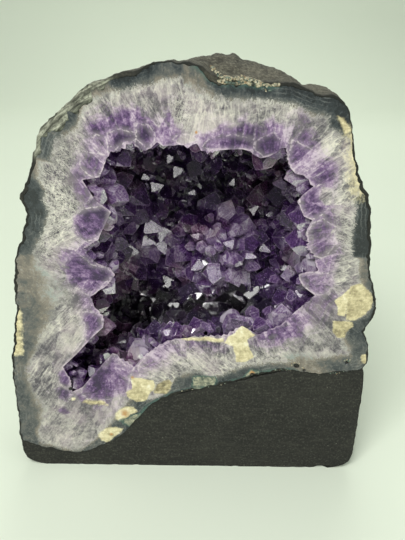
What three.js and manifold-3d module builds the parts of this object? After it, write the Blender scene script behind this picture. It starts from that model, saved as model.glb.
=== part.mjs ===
// A small amethyst geode, sawn and polished flat across its open front, standing on a foot of cast cement.
// Millimetres, +Z up. The cut face looks towards -Y, and the origin is on the underside, below the middle.
import * as THREE from "three";
import { ConvexGeometry } from "three/addons/geometries/ConvexGeometry.js";
import { mergeVertices } from "three/addons/utils/BufferGeometryUtils.js";
import Module from "manifold-3d";

const depth = 90; // cut face to the back of the rock
const faceY = -depth / 2; // the polished cut
const gap = 0.3; // between neighbouring pieces
const inFront = 6; // how far a cutting body stands out of the cut face

// Stations round the cut face, clockwise as seen from the front, from the low left corner:
// the rock's outer edge [x, z], then the edge of the hollow that it looks at [x, z].
const stations = [
  [-77, 14, -57, 44],
  [-77, 25, -58, 50],
  [-77, 36, -56, 57],
  [-77, 48, -52, 65],
  [-76, 60, -48, 72],
  [-74, 72, -45, 80],
  [-71.5, 85, -45, 89],
  [-71.5, 94, -45, 98],
  [-69.5, 106, -45, 106],
  [-65.5, 116, -46, 114],
  [-63, 124, -44, 122],
  [-64.5, 132, -43, 129],
  [-60.5, 139, -44, 137],
  [-58, 149, -44, 144],
  [-54, 158, -39, 150],
  [-46, 165, -33, 154.5],
  [-38, 172.5, -26, 157],
  [-31, 175.5, -20, 157],
  [-22, 178.3, -14, 157],
  [-12, 181.2, -8, 157.5],
  [-3, 182, -1, 157.5],
  [4, 180.6, 5, 157],
  [10, 176.5, 11, 156.5],
  [20, 176, 18, 157],
  [29, 175.2, 25, 157],
  [37, 175, 32, 157.5],
  [46, 171.5, 38, 156],
  [55, 170, 43, 152.5],
  [58.5, 163, 46, 147],
  [60.5, 155, 48, 141],
  [62.5, 147, 49, 135],
  [66, 138.5, 50, 129],
  [69.5, 132, 51, 122],
  [71, 122, 52.5, 115],
  [72.5, 112, 54, 107],
  [73.5, 101, 55, 98],
  [77.3, 90, 55, 89],
  [77, 82, 52, 82],
  [74.3, 75, 48, 76],
  [77, 67, 43, 71.5],
  [77, 57.5, 38, 68.5],
  [68, 54, 34, 67],
  [57, 53, 28, 66],
  [46, 54.5, 22, 65.5],
  [35, 53.5, 15, 65],
  [24, 49.5, 7, 64.5],
  [13, 45.7, -1, 63],
  [2, 43.5, -8, 60],
  [-8, 40, -15, 56],
  [-17, 34.5, -22, 52],
  [-23, 27, -28, 48.5],
  [-30, 18.5, -35, 45],
  [-40, 11.5, -43, 40],
  [-52, 7.2, -50, 37],
  [-66, 9.5, -55, 39],
];

// The rock behind the cut face.
const rock = {
  centre: [2, 96], // the section shrinks towards this point
  boxiness: 0.5, // lower is squarer in plan
  hump: { rise: 8, x: 18, width: 15, behind: 24 }, // a swell of the top, behind the cut's low edge
  lumps: 3,
  lumpSize: 19,
  ledges: 1.8,
  ledgeSize: 14,
  relief: [42, 145, 84], // shifts the lumps and ledges along X, Y and Z
  rings: 12,
};

// The hollow, and the druse of crystals that lines it.
const hollow = {
  centre: [0, 108],
  backShift: [5, 2], // where its deepest point lies from the centre
  depth: 55,
  roundness: 0.66,
  crust: 5.2, // the fused bases of the crystals
  around: 30,
  rings: 6,
  closing: 1.35, // over 1 sets the rings closer towards the back
};

// The rounded boss of larger crystals that grew forwards from the back wall.
const boss = { x: 14, z: 97, reach: 22, radius: 18 };

// Crystals between the rim and the back: rows at an even spacing.
const druse = {
  spacing: 14.6,
  rowShare: 0.87, // a row's width as a share of the spacing
  firstRow: 0.07, // how far in from the cut it starts, as a share of the way to the back
  radius: [9.5, 11.5],
  stem: [0, 1.6], // how far each point's shoulder stands out of the lining
  tilt: 0.42,
  tipOffset: 0.3,
  fullSize: 62, // from the middle; they shrink further out, into the narrow corner
  sink: 1.2, // how deep each is rooted in the lining
};

// Large crystals that the saw cut through at the rim: tip [x, z], the heading that
// each grows in (degrees, 0 is +X and 90 is +Z), radius, and the axis' distance behind the cut.
const rimCrystals = [
  [-35.5, 76.2, -18, 8.2, 0.5],
  [-30.2, 100.4, 4, 8.6, 1],
  [-40, 112, 12, 5.2, 1.5],
  [-30, 125, 20, 9, 0.5],
  [-33, 141, -20, 6.5, 1],
  [-29, 148.6, -42, 7, 0.5],
  [-16, 147.5, -85, 6, 1.2],
  [-3, 150.2, -95, 5.6, 0.6],
  [7, 150, -88, 5.2, 1],
  [17, 150.6, -92, 5.6, 0.8],
  [27.5, 147.8, -100, 6.6, 0.6],
  [37, 145.5, -140, 6, 1],
  [41.5, 136, -165, 6.4, 0.4],
  [44, 124, 175, 8.2, 0.2],
  [46.5, 113, 178, 7.6, 0.8],
  [44.2, 101.2, 170, 7.4, 0.6],
  [46, 86, 150, 7, 1.5],
  [36, 80.5, 105, 6.4, 4.5],
  [25.5, 79.5, 95, 5.4, 5],
  [16.6, 79.6, 88, 5.6, 5],
  [5, 72.2, 92, 5.4, 1.5],
  [-6, 70.5, 96, 5.2, 1.2],
  [-15, 65, 110, 5.4, 1],
  [-32.9, 62.4, 100, 9, 2.5],
  [-44, 53, 130, 5, 2],
  [-53, 56, -20, 5, 1.5],
];

// The cement foot.
const foot = {
  halfWidth: 77.3,
  back: 84, // from the cut face
  squareness: 3.4,
  // [height, share of the full outline] from the underside up
  levels: [
    [0, 0.955],
    [1.4, 0.972],
    [4, 0.988],
    [9, 0.998],
    [18, 1],
    [44, 1],
    [54, 0.992],
    [59, 0.97],
    [62, 0.92],
  ],
  leftTop: 0.36, // the left end's height as a share of the right end's
  backRise: 0.12,
  around: 24,
  lumps: 1.1,
  lumpSize: 13,
};

// A quartz point's height over its circumradius, from the 38.2 degree slope of its faces to the axis.
const pointHeight = Math.cos(Math.PI / 6) / Math.tan(THREE.MathUtils.degToRad(38.2));
const rootTaper = 0.7; // a crystal narrows to this share at its root

const wasm = await Module();
wasm.setup();

const mix = THREE.MathUtils.lerp;

// A repeatable number from 0 to 1 for item i, use k.
function chance(i, k) {
  const x = Math.sin(i * 12.9898 + k * 78.233) * 43758.5453;
  return x - Math.floor(x);
}

// A smooth bumpy field from -1 to 1, with lumps about `size` across.
function lumpy(x, y, z, size) {
  const a = x / size;
  const b = y / size;
  const c = z / size;
  return (
    (Math.sin(1.7 * a + 1.3 * b + 0.4) * Math.sin(1.5 * c - 0.8 * b + 2.1) +
      Math.sin(2.9 * b - 1.1 * a + 3.3) * Math.sin(2.3 * a + 2.6 * c + 0.9) +
      Math.sin(3.7 * c + 1.9 * a - 1.2) * Math.sin(3.1 * b - 0.7 * c)) /
    2.2
  );
}

const curveOf = (xColumn) =>
  new THREE.CatmullRomCurve3(
    stations.map((s) => new THREE.Vector3(s[xColumn], 0, s[xColumn + 1])),
    true,
    "catmullrom",
    0.5,
  );
const outerEdge = curveOf(0);
const hollowEdge = curveOf(2);

// The rock's skin: u goes round it, q from the cut (0) to the back (1).
function rockPoint(u, q, grow) {
  const edge = outerEdge.getPoint(u);
  const angle = (q * Math.PI) / 2;
  const back = Math.sin(angle);
  const share = Math.max(Math.cos(angle), 1e-9) ** rock.boxiness;
  const x = rock.centre[0] + (edge.x - rock.centre[0]) * share;
  const y = depth * back;
  const { rise, x: humpX, width, behind } = rock.hump;
  const swell =
    edge.z > rock.centre[1]
      ? rise *
        THREE.MathUtils.smoothstep(y, 0, behind) *
        Math.exp(-(((edge.x - humpX) / width) ** 2))
      : 0;
  const z = rock.centre[1] + (edge.z - rock.centre[1] + swell) * share;
  const away = new THREE.Vector3(
    edge.x - rock.centre[0],
    (depth * back) / 2,
    edge.z - rock.centre[1],
  ).normalize();
  const fade = Math.min(1, back * 3.5);
  const [a, b, c] = [x + rock.relief[0], y + rock.relief[1], z + rock.relief[2]];
  const ledge = Math.abs(lumpy(a + 40, b, c * 1.8, rock.ledgeSize)) * 2 - 0.9;
  const relief = rock.lumps * lumpy(a, b, c, rock.lumpSize) + rock.ledges * ledge;
  const push = grow + fade * relief * share;
  return new THREE.Vector3(x, faceY + y, z).addScaledVector(away, push);
}

// The hollow's lining: u goes round it, w from the cut (0) to its deepest point (1).
function hollowPoint(u, w, grow) {
  const edge = hollowEdge.getPoint(u);
  const angle = (w * Math.PI) / 2;
  const share = Math.max(Math.cos(angle), 1e-9) ** hollow.roundness;
  const out = new THREE.Vector2(
    edge.x - hollow.centre[0],
    edge.z - hollow.centre[1],
  );
  const reach = out.length();
  const k = share * (1 + grow / reach);
  const back = Math.sin(angle);
  const x = hollow.centre[0] + hollow.backShift[0] * back + out.x * k;
  const z = hollow.centre[1] + hollow.backShift[1] * back + out.y * k;
  const fromBoss = Math.hypot(x - boss.x, z - boss.z) / boss.radius;
  const y =
    (hollow.depth + grow) * back -
    boss.reach * Math.exp(-(fromBoss ** 4)) * back ** 2;
  return new THREE.Vector3(x, faceY + y, z);
}

// One closed body from rings of points with equal counts, closed by a point or a flat fan at each end.
function bodyOf(rings, first, last) {
  const points = [first, ...rings.flat(), last];
  const n = rings[0].length;
  const index = [];
  for (let i = 0; i < n; i++) {
    const j = (i + 1) % n;
    index.push(0, 1 + j, 1 + i);
    for (let r = 0; r < rings.length - 1; r++) {
      const a = 1 + r * n;
      index.push(a + i, a + j, a + n + i);
      index.push(a + j, a + n + j, a + n + i);
    }
    const end = 1 + (rings.length - 1) * n;
    index.push(points.length - 1, end + i, end + j);
  }
  const geometry = new THREE.BufferGeometry().setFromPoints(points);
  geometry.setIndex(index);
  return geometry;
}

// A three.js geometry as a solid that can be joined and cut.
function solidOf(geometry) {
  const bare = new THREE.BufferGeometry();
  bare.setAttribute("position", geometry.getAttribute("position"));
  bare.setIndex(geometry.index);
  const merged = mergeVertices(bare, 1e-4);
  return new wasm.Manifold(
    new wasm.Mesh({
      numProp: 3,
      vertProperties: new Float32Array(merged.attributes.position.array),
      triVerts: new Uint32Array(merged.index.array),
    }),
  );
}

function geometryOf(solid) {
  const mesh = solid.getMesh();
  const points = new Float32Array(mesh.numVert * 3);
  for (let i = 0; i < mesh.numVert; i++) {
    const from = i * mesh.numProp;
    points.set(mesh.vertProperties.subarray(from, from + 3), i * 3);
  }
  const geometry = new THREE.BufferGeometry();
  geometry.setAttribute("position", new THREE.BufferAttribute(points, 3));
  geometry.setIndex(new THREE.BufferAttribute(mesh.triVerts, 1));
  geometry.computeVertexNormals();
  return geometry;
}

const shares = (n) => Array.from({ length: n }, (_, i) => i / n);

// The whole rock as if it had no hollow, `grow` mm larger on its skin.
function rockBody(grow) {
  const rings = shares(rock.rings).map((q) =>
    stations.map((_, i) => rockPoint(i / stations.length, q, grow)),
  );
  const front = new THREE.Vector3(rock.centre[0], faceY, rock.centre[1]);
  return solidOf(bodyOf(rings, front, rockPoint(0, 1, grow)));
}

// The hollow as a body, `grow` mm larger than its lining, standing `out` mm in front of the cut.
function hollowBody(grow, out) {
  const rings = shares(hollow.rings).map((k) =>
    shares(hollow.around).map((u) =>
      hollowPoint(u, 1 - (1 - k) ** hollow.closing, grow),
    ),
  );
  if (out > 0)
    rings.unshift(
      rings[0].map((p) => new THREE.Vector3(p.x, p.y - out, p.z)),
    );
  const [x, z] = hollow.centre;
  const front = new THREE.Vector3(x, faceY - out, z);
  return solidOf(bodyOf(rings, front, hollowPoint(0, 1, grow)));
}

// A quartz point: a six-sided pyramid of circumradius r, with its tip a little off the middle,
// over a stem that narrows to its root.
function crystalBody(tip, heading, r, long, turn, offset) {
  const points = [new THREE.Vector3(0, 0, 0)];
  for (let k = 0; k < 6; k++) {
    const corner = (k * Math.PI) / 3;
    const x = r * (Math.cos(corner) + offset);
    const y = r * Math.sin(corner);
    points.push(new THREE.Vector3(x, y, -pointHeight * r));
    points.push(new THREE.Vector3(x * rootTaper, y * rootTaper, -long));
  }
  const body = new ConvexGeometry(points);
  body.rotateZ(turn);
  const up = new THREE.Vector3(0, 0, 1);
  body.applyQuaternion(new THREE.Quaternion().setFromUnitVectors(up, heading));
  body.translate(tip.x, tip.y, tip.z);
  return solidOf(body);
}

// The way into the hollow from its lining.
function inward(u, w) {
  const step = 0.004;
  const alongU = hollowPoint(u + step, w, 0).sub(hollowPoint(u - step, w, 0));
  const alongW = hollowPoint(u, w + step, 0).sub(hollowPoint(u, w - step, 0));
  return alongW.cross(alongU).normalize();
}

// Rows of crystals over the lining, each leaning a little its own way.
function druseCrystals() {
  const crystals = [];
  const arc = 400;
  let row = 0;
  for (let w = druse.firstRow; w < 0.995; row++) {
    const loop = shares(arc).map((u) => hollowPoint(u, w, 0));
    const lengths = [0];
    loop.forEach((p, i) =>
      lengths.push(lengths[i] + p.distanceTo(loop[(i + 1) % arc])),
    );
    const count = Math.max(1, Math.round(lengths[arc] / druse.spacing));
    for (let i = 0; i < count; i++) {
      const id = row * 97 + i;
      const place = (i + 1 + 0.5 * (row % 2) + 0.35 * (chance(id, 1) - 0.5)) / count;
      const along = (place % 1) * lengths[arc];
      const at = lengths.findIndex((l) => l > along) - 1;
      const u = (at + (along - lengths[at]) / (lengths[at + 1] - lengths[at])) / arc;
      const jitter = Math.min(0.99, w + 0.03 * (chance(id, 2) - 0.5));
      const root = hollowPoint(u, jitter, 0);
      const heading = inward(u, jitter);
      heading.x += druse.tilt * (chance(id, 3) - 0.5);
      heading.y += druse.tilt * (chance(id, 4) - 0.5);
      heading.z += druse.tilt * (chance(id, 5) - 0.5);
      heading.normalize();
      const fromMiddle = Math.hypot(
        root.x - hollow.centre[0],
        root.z - hollow.centre[1],
      );
      const r =
        mix(...druse.radius, chance(id, 6)) *
        Math.min(1, druse.fullSize / fromMiddle);
      const tall = mix(...druse.stem, chance(id, 7)) + r * pointHeight;
      const tip = root.clone().addScaledVector(heading, tall);
      const turn = chance(id, 8) * Math.PI;
      const offset = druse.tipOffset * chance(id, 9);
      crystals.push(crystalBody(tip, heading, r, tall + druse.sink, turn, offset));
    }
    // Step down the wall by one row's width.
    const here = hollowPoint(0.3, w, 0);
    let next = w;
    const rowWidth = druse.spacing * druse.rowShare;
    while (next < 1 && hollowPoint(0.3, next, 0).distanceTo(here) < rowWidth)
      next += 0.002;
    w = next;
  }
  return crystals;
}

function cutCrystals() {
  return rimCrystals.map(([x, z, degrees, r, behind], i) => {
    const a = THREE.MathUtils.degToRad(degrees);
    const tip = new THREE.Vector3(x, faceY + behind, z);
    const heading = new THREE.Vector3(Math.cos(a), 0.12, Math.sin(a)).normalize();
    return crystalBody(tip, heading, r, 3 * r, chance(i, 11) * Math.PI, 0.25 * chance(i, 12));
  });
}

// The foot's skin: phi goes round its plan from the right front corner to the left one.
function footPoint(phi, level, top) {
  const [height, share] = foot.levels[level];
  const power = 2 / foot.squareness;
  const c = Math.cos(phi);
  const s = Math.sin(phi);
  const across = Math.sign(c) * Math.abs(c) ** power;
  const back = Math.abs(s) ** power;
  const slant = mix(foot.leftTop, 1, (across + 1) / 2) + foot.backRise * back;
  const z = height * mix(1, slant, height / top);
  const x = foot.halfWidth * across * share;
  const y = foot.back * back * share;
  const bump = z > 0 ? foot.lumps * lumpy(x, y, z, foot.lumpSize) * Math.min(1, y / 12) : 0;
  return new THREE.Vector3(x + bump * c, faceY + y + bump * s, z);
}

function footBody() {
  const top = foot.levels.at(-1)[0];
  const rings = foot.levels.map((_, level) => {
    const ring = [];
    for (let i = 0; i <= foot.around; i++)
      ring.push(footPoint((Math.PI * i) / foot.around, level, top));
    return ring;
  });
  const middle = (height) => new THREE.Vector3(0, faceY + foot.back / 2, height);
  return solidOf(
    bodyOf(rings, middle(0), middle(top * (0.5 + foot.leftTop / 2))),
  );
}

const join = (solids) => solids.reduce((all, one) => all.add(one));

// The largest body, without the specks that cutting leaves loose.
const biggest = (solid) =>
  solid.decompose().sort((a, b) => b.volume() - a.volume())[0];

const stone = (color, roughness) =>
  new THREE.MeshStandardMaterial({ color, roughness, metalness: 0 });

function piece(name, solid, material) {
  const mesh = new THREE.Mesh(geometryOf(solid), material);
  mesh.name = name;
  return mesh;
}

const wall = rockBody(0).subtract(hollowBody(hollow.crust, inFront));
const bed = hollowBody(hollow.crust - gap, 0);
const lining = bed.subtract(hollowBody(0, inFront));
const crystals = join([...druseCrystals(), ...cutCrystals()]);
const crust = lining.add(crystals.intersect(bed));
const base = footBody().subtract(rockBody(gap));

const geode = new THREE.Group();
geode.add(
  piece("geode_wall", biggest(wall), stone(0xb9b4b0, 0.35)),
  piece("amethyst_crystals", biggest(crust), stone(0x3a2450, 0.12)),
  piece("cement_foot", biggest(base), stone(0x37382f, 0.85)),
);

export default geode;
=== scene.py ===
import itertools
import math

import bpy
import numpy as np
from mathutils import Matrix


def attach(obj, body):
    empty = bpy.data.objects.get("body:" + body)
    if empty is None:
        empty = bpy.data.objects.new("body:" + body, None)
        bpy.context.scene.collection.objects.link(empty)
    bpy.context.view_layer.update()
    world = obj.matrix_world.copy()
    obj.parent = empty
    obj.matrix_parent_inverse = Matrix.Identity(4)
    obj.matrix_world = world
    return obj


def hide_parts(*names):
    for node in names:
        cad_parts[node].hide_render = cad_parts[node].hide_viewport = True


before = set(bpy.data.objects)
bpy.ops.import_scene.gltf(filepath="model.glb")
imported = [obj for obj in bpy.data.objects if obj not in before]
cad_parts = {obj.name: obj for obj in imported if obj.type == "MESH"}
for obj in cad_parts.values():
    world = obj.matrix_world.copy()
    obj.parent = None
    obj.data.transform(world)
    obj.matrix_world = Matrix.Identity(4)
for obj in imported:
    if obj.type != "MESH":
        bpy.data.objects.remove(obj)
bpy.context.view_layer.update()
print("frame loaded")

mm = 0.001
depth = 90.0  # cut face to the back of the rock, mm
faceY = -depth / 2  # the polished cut

# Stations round the cut face, clockwise from the low left corner, mm:
# the rock's outer edge x, z, then the edge of the hollow that it looks at x, z.
stations = np.array([
    [-77, 14, -57, 44], [-77, 25, -58, 50], [-77, 36, -56, 57], [-77, 48, -52, 65], [-76, 60, -48, 72],
    [-74, 72, -45, 80], [-71.5, 85, -45, 89], [-71.5, 94, -45, 98], [-69.5, 106, -45, 106],
    [-65.5, 116, -46, 114], [-63, 124, -44, 122], [-64.5, 132, -43, 129], [-60.5, 139, -44, 137],
    [-58, 149, -44, 144], [-54, 158, -39, 150], [-46, 165, -33, 154.5], [-38, 172.5, -26, 157],
    [-31, 175.5, -20, 157], [-22, 178.3, -14, 157], [-12, 181.2, -8, 157.5], [-3, 182, -1, 157.5],
    [4, 180.6, 5, 157], [10, 176.5, 11, 156.5], [20, 176, 18, 157], [29, 175.2, 25, 157],
    [37, 175, 32, 157.5], [46, 171.5, 38, 156], [55, 170, 43, 152.5], [58.5, 163, 46, 147],
    [60.5, 155, 48, 141], [62.5, 147, 49, 135], [66, 138.5, 50, 129], [69.5, 132, 51, 122],
    [71, 122, 52.5, 115], [72.5, 112, 54, 107], [73.5, 101, 55, 98], [77.3, 90, 55, 89], [77, 82, 52, 82],
    [74.3, 75, 48, 76], [77, 67, 43, 71.5], [77, 57.5, 38, 68.5], [68, 54, 34, 67], [57, 53, 28, 66],
    [46, 54.5, 22, 65.5], [35, 53.5, 15, 65], [24, 49.5, 7, 64.5], [13, 45.7, -1, 63], [2, 43.5, -8, 60],
    [-8, 40, -15, 56], [-17, 34.5, -22, 52], [-23, 27, -28, 48.5], [-30, 18.5, -35, 45],
    [-40, 11.5, -43, 40], [-52, 7.2, -50, 37], [-66, 9.5, -55, 39],
])

view = {
    "place": (5.66, -265.0, 203.0),  # mm
    "lookDown": 24.6,  # degrees
    "turn": 0.8, "lens": 40.0, "sensor": 36, "nearest": 0.01,
}
lights = {
    "aim": (0, faceY, 90),  # mm
    "tint": (1.0, 1.0, 0.97),
    "keyFrom": (-0.32, -0.70, 0.92), "keyAway": 0.95, "keySize": 0.4, "keyRadiance": 15.0,
    "fillFrom": (0.85, -0.6, 0.5), "fillAway": 1.2, "fillSize": 0.7, "fillRadiance": 0.8,
    "backFrom": (0.1, 0.75, 0.62), "backAway": 1.1, "backSize": 0.8, "backRadiance": 1.3,
    "glintFrom": (0.25, -0.93, 0.2), "glintAway": 0.9, "glintSize": 0.1, "glintRadiance": 12.5,
    "farPlace": (0.0, 0.85, 0.85), "farSize": 0.9, "farRadiance": 0.85,  # over the floor behind
    "room": (0.82, 0.87, 0.80), "roomStrength": 0.42,
}
rock = {
    "centre": (2, 96), "boxiness": 0.5,
    "humpRise": 8, "humpX": 18, "humpWidth": 15, "humpBehind": 24,
    "lumps": 3, "lumpSize": 19, "ledges": 1.8, "ledgeSize": 14, "relief": (42, 145, 84),
    "crest": np.array([  # x, rise of the top behind the cut
        [-60, 0], [-41.7, -1.7], [-38.3, -2.1], [-34.9, -1.7], [-28, -1.7], [-24.7, -0.8], [-11, -0.8],
        [-7.7, -1.7], [-0.9, -1.7], [2.6, -1.3], [6, -0.4], [9.4, 1.7], [12.8, 0.8], [16.2, 0], [19.6, -1.7],
        [23, -0.8], [26.4, 0], [33.2, 1.3], [36.6, 0.8], [40, 0.4], [43.4, 0], [46.8, 1.3], [50.2, 1.9],
        [53.6, 1.6], [57, -0.9], [60.4, -4.2], [63, -2], [66, 0],
    ]),
    "calmTop": 0.9, "calmBehind": (44, 66), "calmAbove": (138, 158),
    "around": 715, "rings": 104, "bowlRings": 20, "chipRings": 4,
    "chipDrop": 0.45, "chipRough": 0.7, "edgeDrop": 0.25,
    "beside": 0.05, "behind": 0.1, "below": 0.06,  # gaps round the plate, mm
    "grit": 0.55, "gritSize": 5.5, "pits": 0.7, "pitSize": 4.2,
    "edgeRough": 0.5, "edgeSize": 3.4, "girth": 540,
}
hollow = {"centre": (0, 108), "backShift": (5, 2), "depth": 55, "roundness": 0.66, "crust": 5.2,
          "deepest": 0.985}  # where the last ring lies, before the pole
boss = {"x": 14, "z": 97, "reach": 22, "radius": 18}


def latticeKey(at):
    # One of 4096 numbers for each lattice place: its indices times three large primes, combined.
    return (at[:, 0] * 73856093 ^ at[:, 1] * 19349663 ^ at[:, 2] * 83492791) & 4095


def latticeNoise(points, size, seed):
    # Random values on a cubic lattice `size` mm apart, blended with 3t^2 - 2t^3: -1 to 1.
    values = np.random.RandomState(seed).uniform(-1, 1, 4096)
    cell = np.asarray(points, float) / size
    low = np.floor(cell).astype(np.int64)
    t = cell - low
    t = t * t * (3 - 2 * t)
    total = np.zeros(len(points))
    for corner in range(8):
        step = np.array([corner & 1, corner >> 1 & 1, corner >> 2 & 1])
        total += values[latticeKey(low + step)] * np.prod(np.where(step == 1, t, 1 - t), axis=1)
    return total


def layeredNoise(points, size, layers, seed, fall=0.5):
    # latticeNoise at size, size/2, size/4 ..., each `fall` times as strong as the one before.
    total = np.zeros(len(points))
    for k in range(layers):
        total += fall**k * latticeNoise(points, size / 2**k, seed + k)
    return total


def pitNoise(points, size, seed):
    # Distance to the nearest of one random point in each cell, in cells: 0 in a pit, about 1 between.
    cell = np.asarray(points, float) / size
    low = np.floor(cell).astype(np.int64)
    jitter = np.random.RandomState(seed).uniform(0, 1, (4096, 3))
    best = np.full(len(points), 9.0)
    for step in itertools.product((-1, 0, 1), repeat=3):
        at = low + np.array(step)
        best = np.minimum(best, lengths(at + jitter[latticeKey(at)] - cell))
    return best


def smooth(low, high, value):
    # 0 below low, 1 above high, 3t^2 - 2t^3 between.
    t = np.clip((value - low) / (high - low), 0, 1)
    return t * t * (3 - 2 * t)


def stationOf(u):
    # The number of the station at each u, 0 to 1 round the cut, with the share of the way to the next.
    return (u % 1) * len(stations)


def lumpy(x, y, z, size):
    # Sum of three products of sines, with lumps about `size` across: -1 to 1.
    a, b, c = x / size, y / size, z / size
    return (
        np.sin(1.7 * a + 1.3 * b + 0.4) * np.sin(1.5 * c - 0.8 * b + 2.1)
        + np.sin(2.9 * b - 1.1 * a + 3.3) * np.sin(2.3 * a + 2.6 * c + 0.9)
        + np.sin(3.7 * c + 1.9 * a - 1.2) * np.sin(3.1 * b - 0.7 * c)
    ) / 2.2


def edgeCurve(column, u):
    # Closed Catmull-Rom curve through the stations (column 0 outer, 2 hollow), u from 0 to 1.
    knots = stations[:, column : column + 2]
    place = stationOf(np.asarray(u))
    i = np.floor(place).astype(int)
    t = (place - i)[..., None]
    a, b, c, d = (knots[(i + k) % len(knots)] for k in (-1, 0, 1, 2))
    m, n = (c - a) / 2, (d - b) / 2
    return b + m * t + (3 * (c - b) - 2 * m - n) * t**2 + (2 * (b - c) + m + n) * t**3


def rockPoint(u, q, grow=0.0):
    # The edge shrunk towards the centre by cos^boxiness of q * 90 degrees and carried back by
    # depth * sine, pushed outwards by lumps and ledges, which are low on the hump's front.
    edge = edgeCurve(0, u)
    cx, cz = rock["centre"]
    ex, ez = edge[..., 0] - cx, edge[..., 1] - cz
    back = np.sin(q * np.pi / 2)
    share = np.maximum(np.cos(q * np.pi / 2), 1e-9) ** rock["boxiness"]
    y = depth * back
    swell = np.where(
        ez > 0, rock["humpRise"] * smooth(0, rock["humpBehind"], y)
        * np.exp(-(((ex + cx - rock["humpX"]) / rock["humpWidth"]) ** 2)), 0,
    )
    crest = np.interp(ex + cx, *rock["crest"].T) * smooth(2, 20, y) * smooth(0, 40, ez)
    x = cx + ex * share
    z = cz + (ez + swell + crest) * share
    away = unit(stacked(ex, y / 2, ez))
    a, b, c = x + rock["relief"][0], y + rock["relief"][1], z + rock["relief"][2]
    ledge = np.abs(lumpy(a + 40, b, c * 1.8, rock["ledgeSize"])) * 2 - 0.9
    calm = 1 - rock["calmTop"] * smooth(*rock["calmAbove"], z) * smooth(*rock["calmBehind"][::-1], y)
    push = grow + np.minimum(1, back * 3.5) * share * calm * (
        rock["lumps"] * lumpy(a, b, c, rock["lumpSize"]) + rock["ledges"] * ledge
    )
    return stacked(x, faceY + y, z) + away * push[..., None], away


def hollowPoint(u, w, grow=0.0):
    # The hollow's edge shrunk by cos^roundness of w * 90 degrees and carried back by
    # depth * sine, less the boss: reach * exp(-(r / radius)^4).
    cx, cz = hollow["centre"]
    out = edgeCurve(2, u) - (cx, cz)
    reach = lengths(out)
    back = np.sin(w * np.pi / 2)
    share = np.maximum(np.cos(w * np.pi / 2), 1e-9) ** hollow["roundness"]
    k = share * (1 + grow / reach)
    x = cx + hollow["backShift"][0] * back + out[..., 0] * k
    z = cz + hollow["backShift"][1] * back + out[..., 1] * k
    r = np.hypot(x - boss["x"], z - boss["z"]) / boss["radius"]
    y = (hollow["depth"] + grow) * back - boss["reach"] * np.exp(-(r**4)) * back**2
    return stacked(x, faceY + y, z)


def bowlRings(u, count, grow, front):
    # Rings of the hollow's surface from its deepest part out to the cut, none before `front`.
    shares = np.linspace(hollow["deepest"], 0, count)
    rings = [hollowPoint(u, np.full_like(u, w), grow) for w in shares]
    return [np.maximum(ring, [-np.inf, front, -np.inf]) for ring in rings]


def ringFaces(rings, around, loop=False):
    # Quads between neighbouring rings of equal counts; the last ring joins the first if loop.
    i = np.arange(around)
    j = (i + 1) % around
    rows = np.arange(rings if loop else rings - 1)[:, None] * around
    nxt = (rows + around) % (rings * around)
    return stacked(rows + i, rows + j, nxt + j, nxt + i).reshape(-1, 4)


def closedTube(rings, around):
    # Quads between the rings, and triangles that close both ends: the two points that follow
    # the rings' points are the middles of the first and of the last ring.
    i = np.arange(around)
    j = (i + 1) % around
    middle = np.full(around, rings * around)
    last = (rings - 1) * around
    return [*ringFaces(rings, around), *stacked(middle, j, i), *stacked(middle + 1, last + i, last + j)]


def unit(vectors):
    # Each vector divided by its length.
    return vectors / np.linalg.norm(vectors, axis=-1, keepdims=True)


def lengths(vectors):
    # The root of the sum of squares of each vector.
    return np.linalg.norm(vectors, axis=-1)


def angleOf(rays):
    # The angle of each x, z from the X axis.
    return np.arctan2(rays[..., 1], rays[..., 0])


def stacked(*parts):
    # Points, or other rows, from their parts: arrays of one shape, or single numbers.
    return np.stack(np.broadcast_arrays(*parts), -1)


def lineAt(line, run, at, period=None):
    # The line's x and z at the distances `at`, by straight lines between its corners at `run`.
    return stacked(*(np.interp(at, run, side, period=period) for side in np.transpose(line)))


def turnOutwards(mesh):
    # Turns a closed mesh whose signed volume, the sum of a . (b x c) / 6, is negative.
    mesh.calc_loop_triangles()
    corner = np.zeros(len(mesh.loop_triangles) * 3, np.int32)
    mesh.loop_triangles.foreach_get("vertices", corner)
    place = np.zeros(len(mesh.vertices) * 3, np.float32)
    mesh.vertices.foreach_get("co", place)
    a, b, c = place.reshape(-1, 3)[corner.reshape(-1, 3)].transpose(1, 0, 2)
    if np.sum(a * np.cross(b, c)) < 0:
        mesh.flip_normals()


def makeMesh(name, points, faces, material, smoothShade=True):
    # Points in mm become a mesh in metres.
    mesh = bpy.data.meshes.new(name)
    mesh.from_pydata((np.asarray(points) * mm).tolist(), [], [list(map(int, f)) for f in faces])
    mesh.validate()
    turnOutwards(mesh)
    mesh.materials.append(material)
    mesh.polygons.foreach_set("use_smooth", [smoothShade] * len(mesh.polygons))
    piece = bpy.data.objects.new(name, mesh)
    bpy.context.scene.collection.objects.link(piece)
    return piece


def giveValue(piece, name, values):
    # One value for each point, which a material reads with field(name).
    field = piece.data.attributes.new(name, "FLOAT", "POINT")
    field.data.foreach_set("value", np.asarray(values, np.float32))


def giveUv(piece, uv):
    # One place in the growth's pattern for each point, in mm.
    layer = piece.data.uv_layers.new(name="growth")
    corner = np.zeros(len(piece.data.loops), np.int32)
    piece.data.loops.foreach_get("vertex_index", corner)
    layer.data.foreach_set("uv", np.asarray(uv, np.float32)[corner].ravel())


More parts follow.
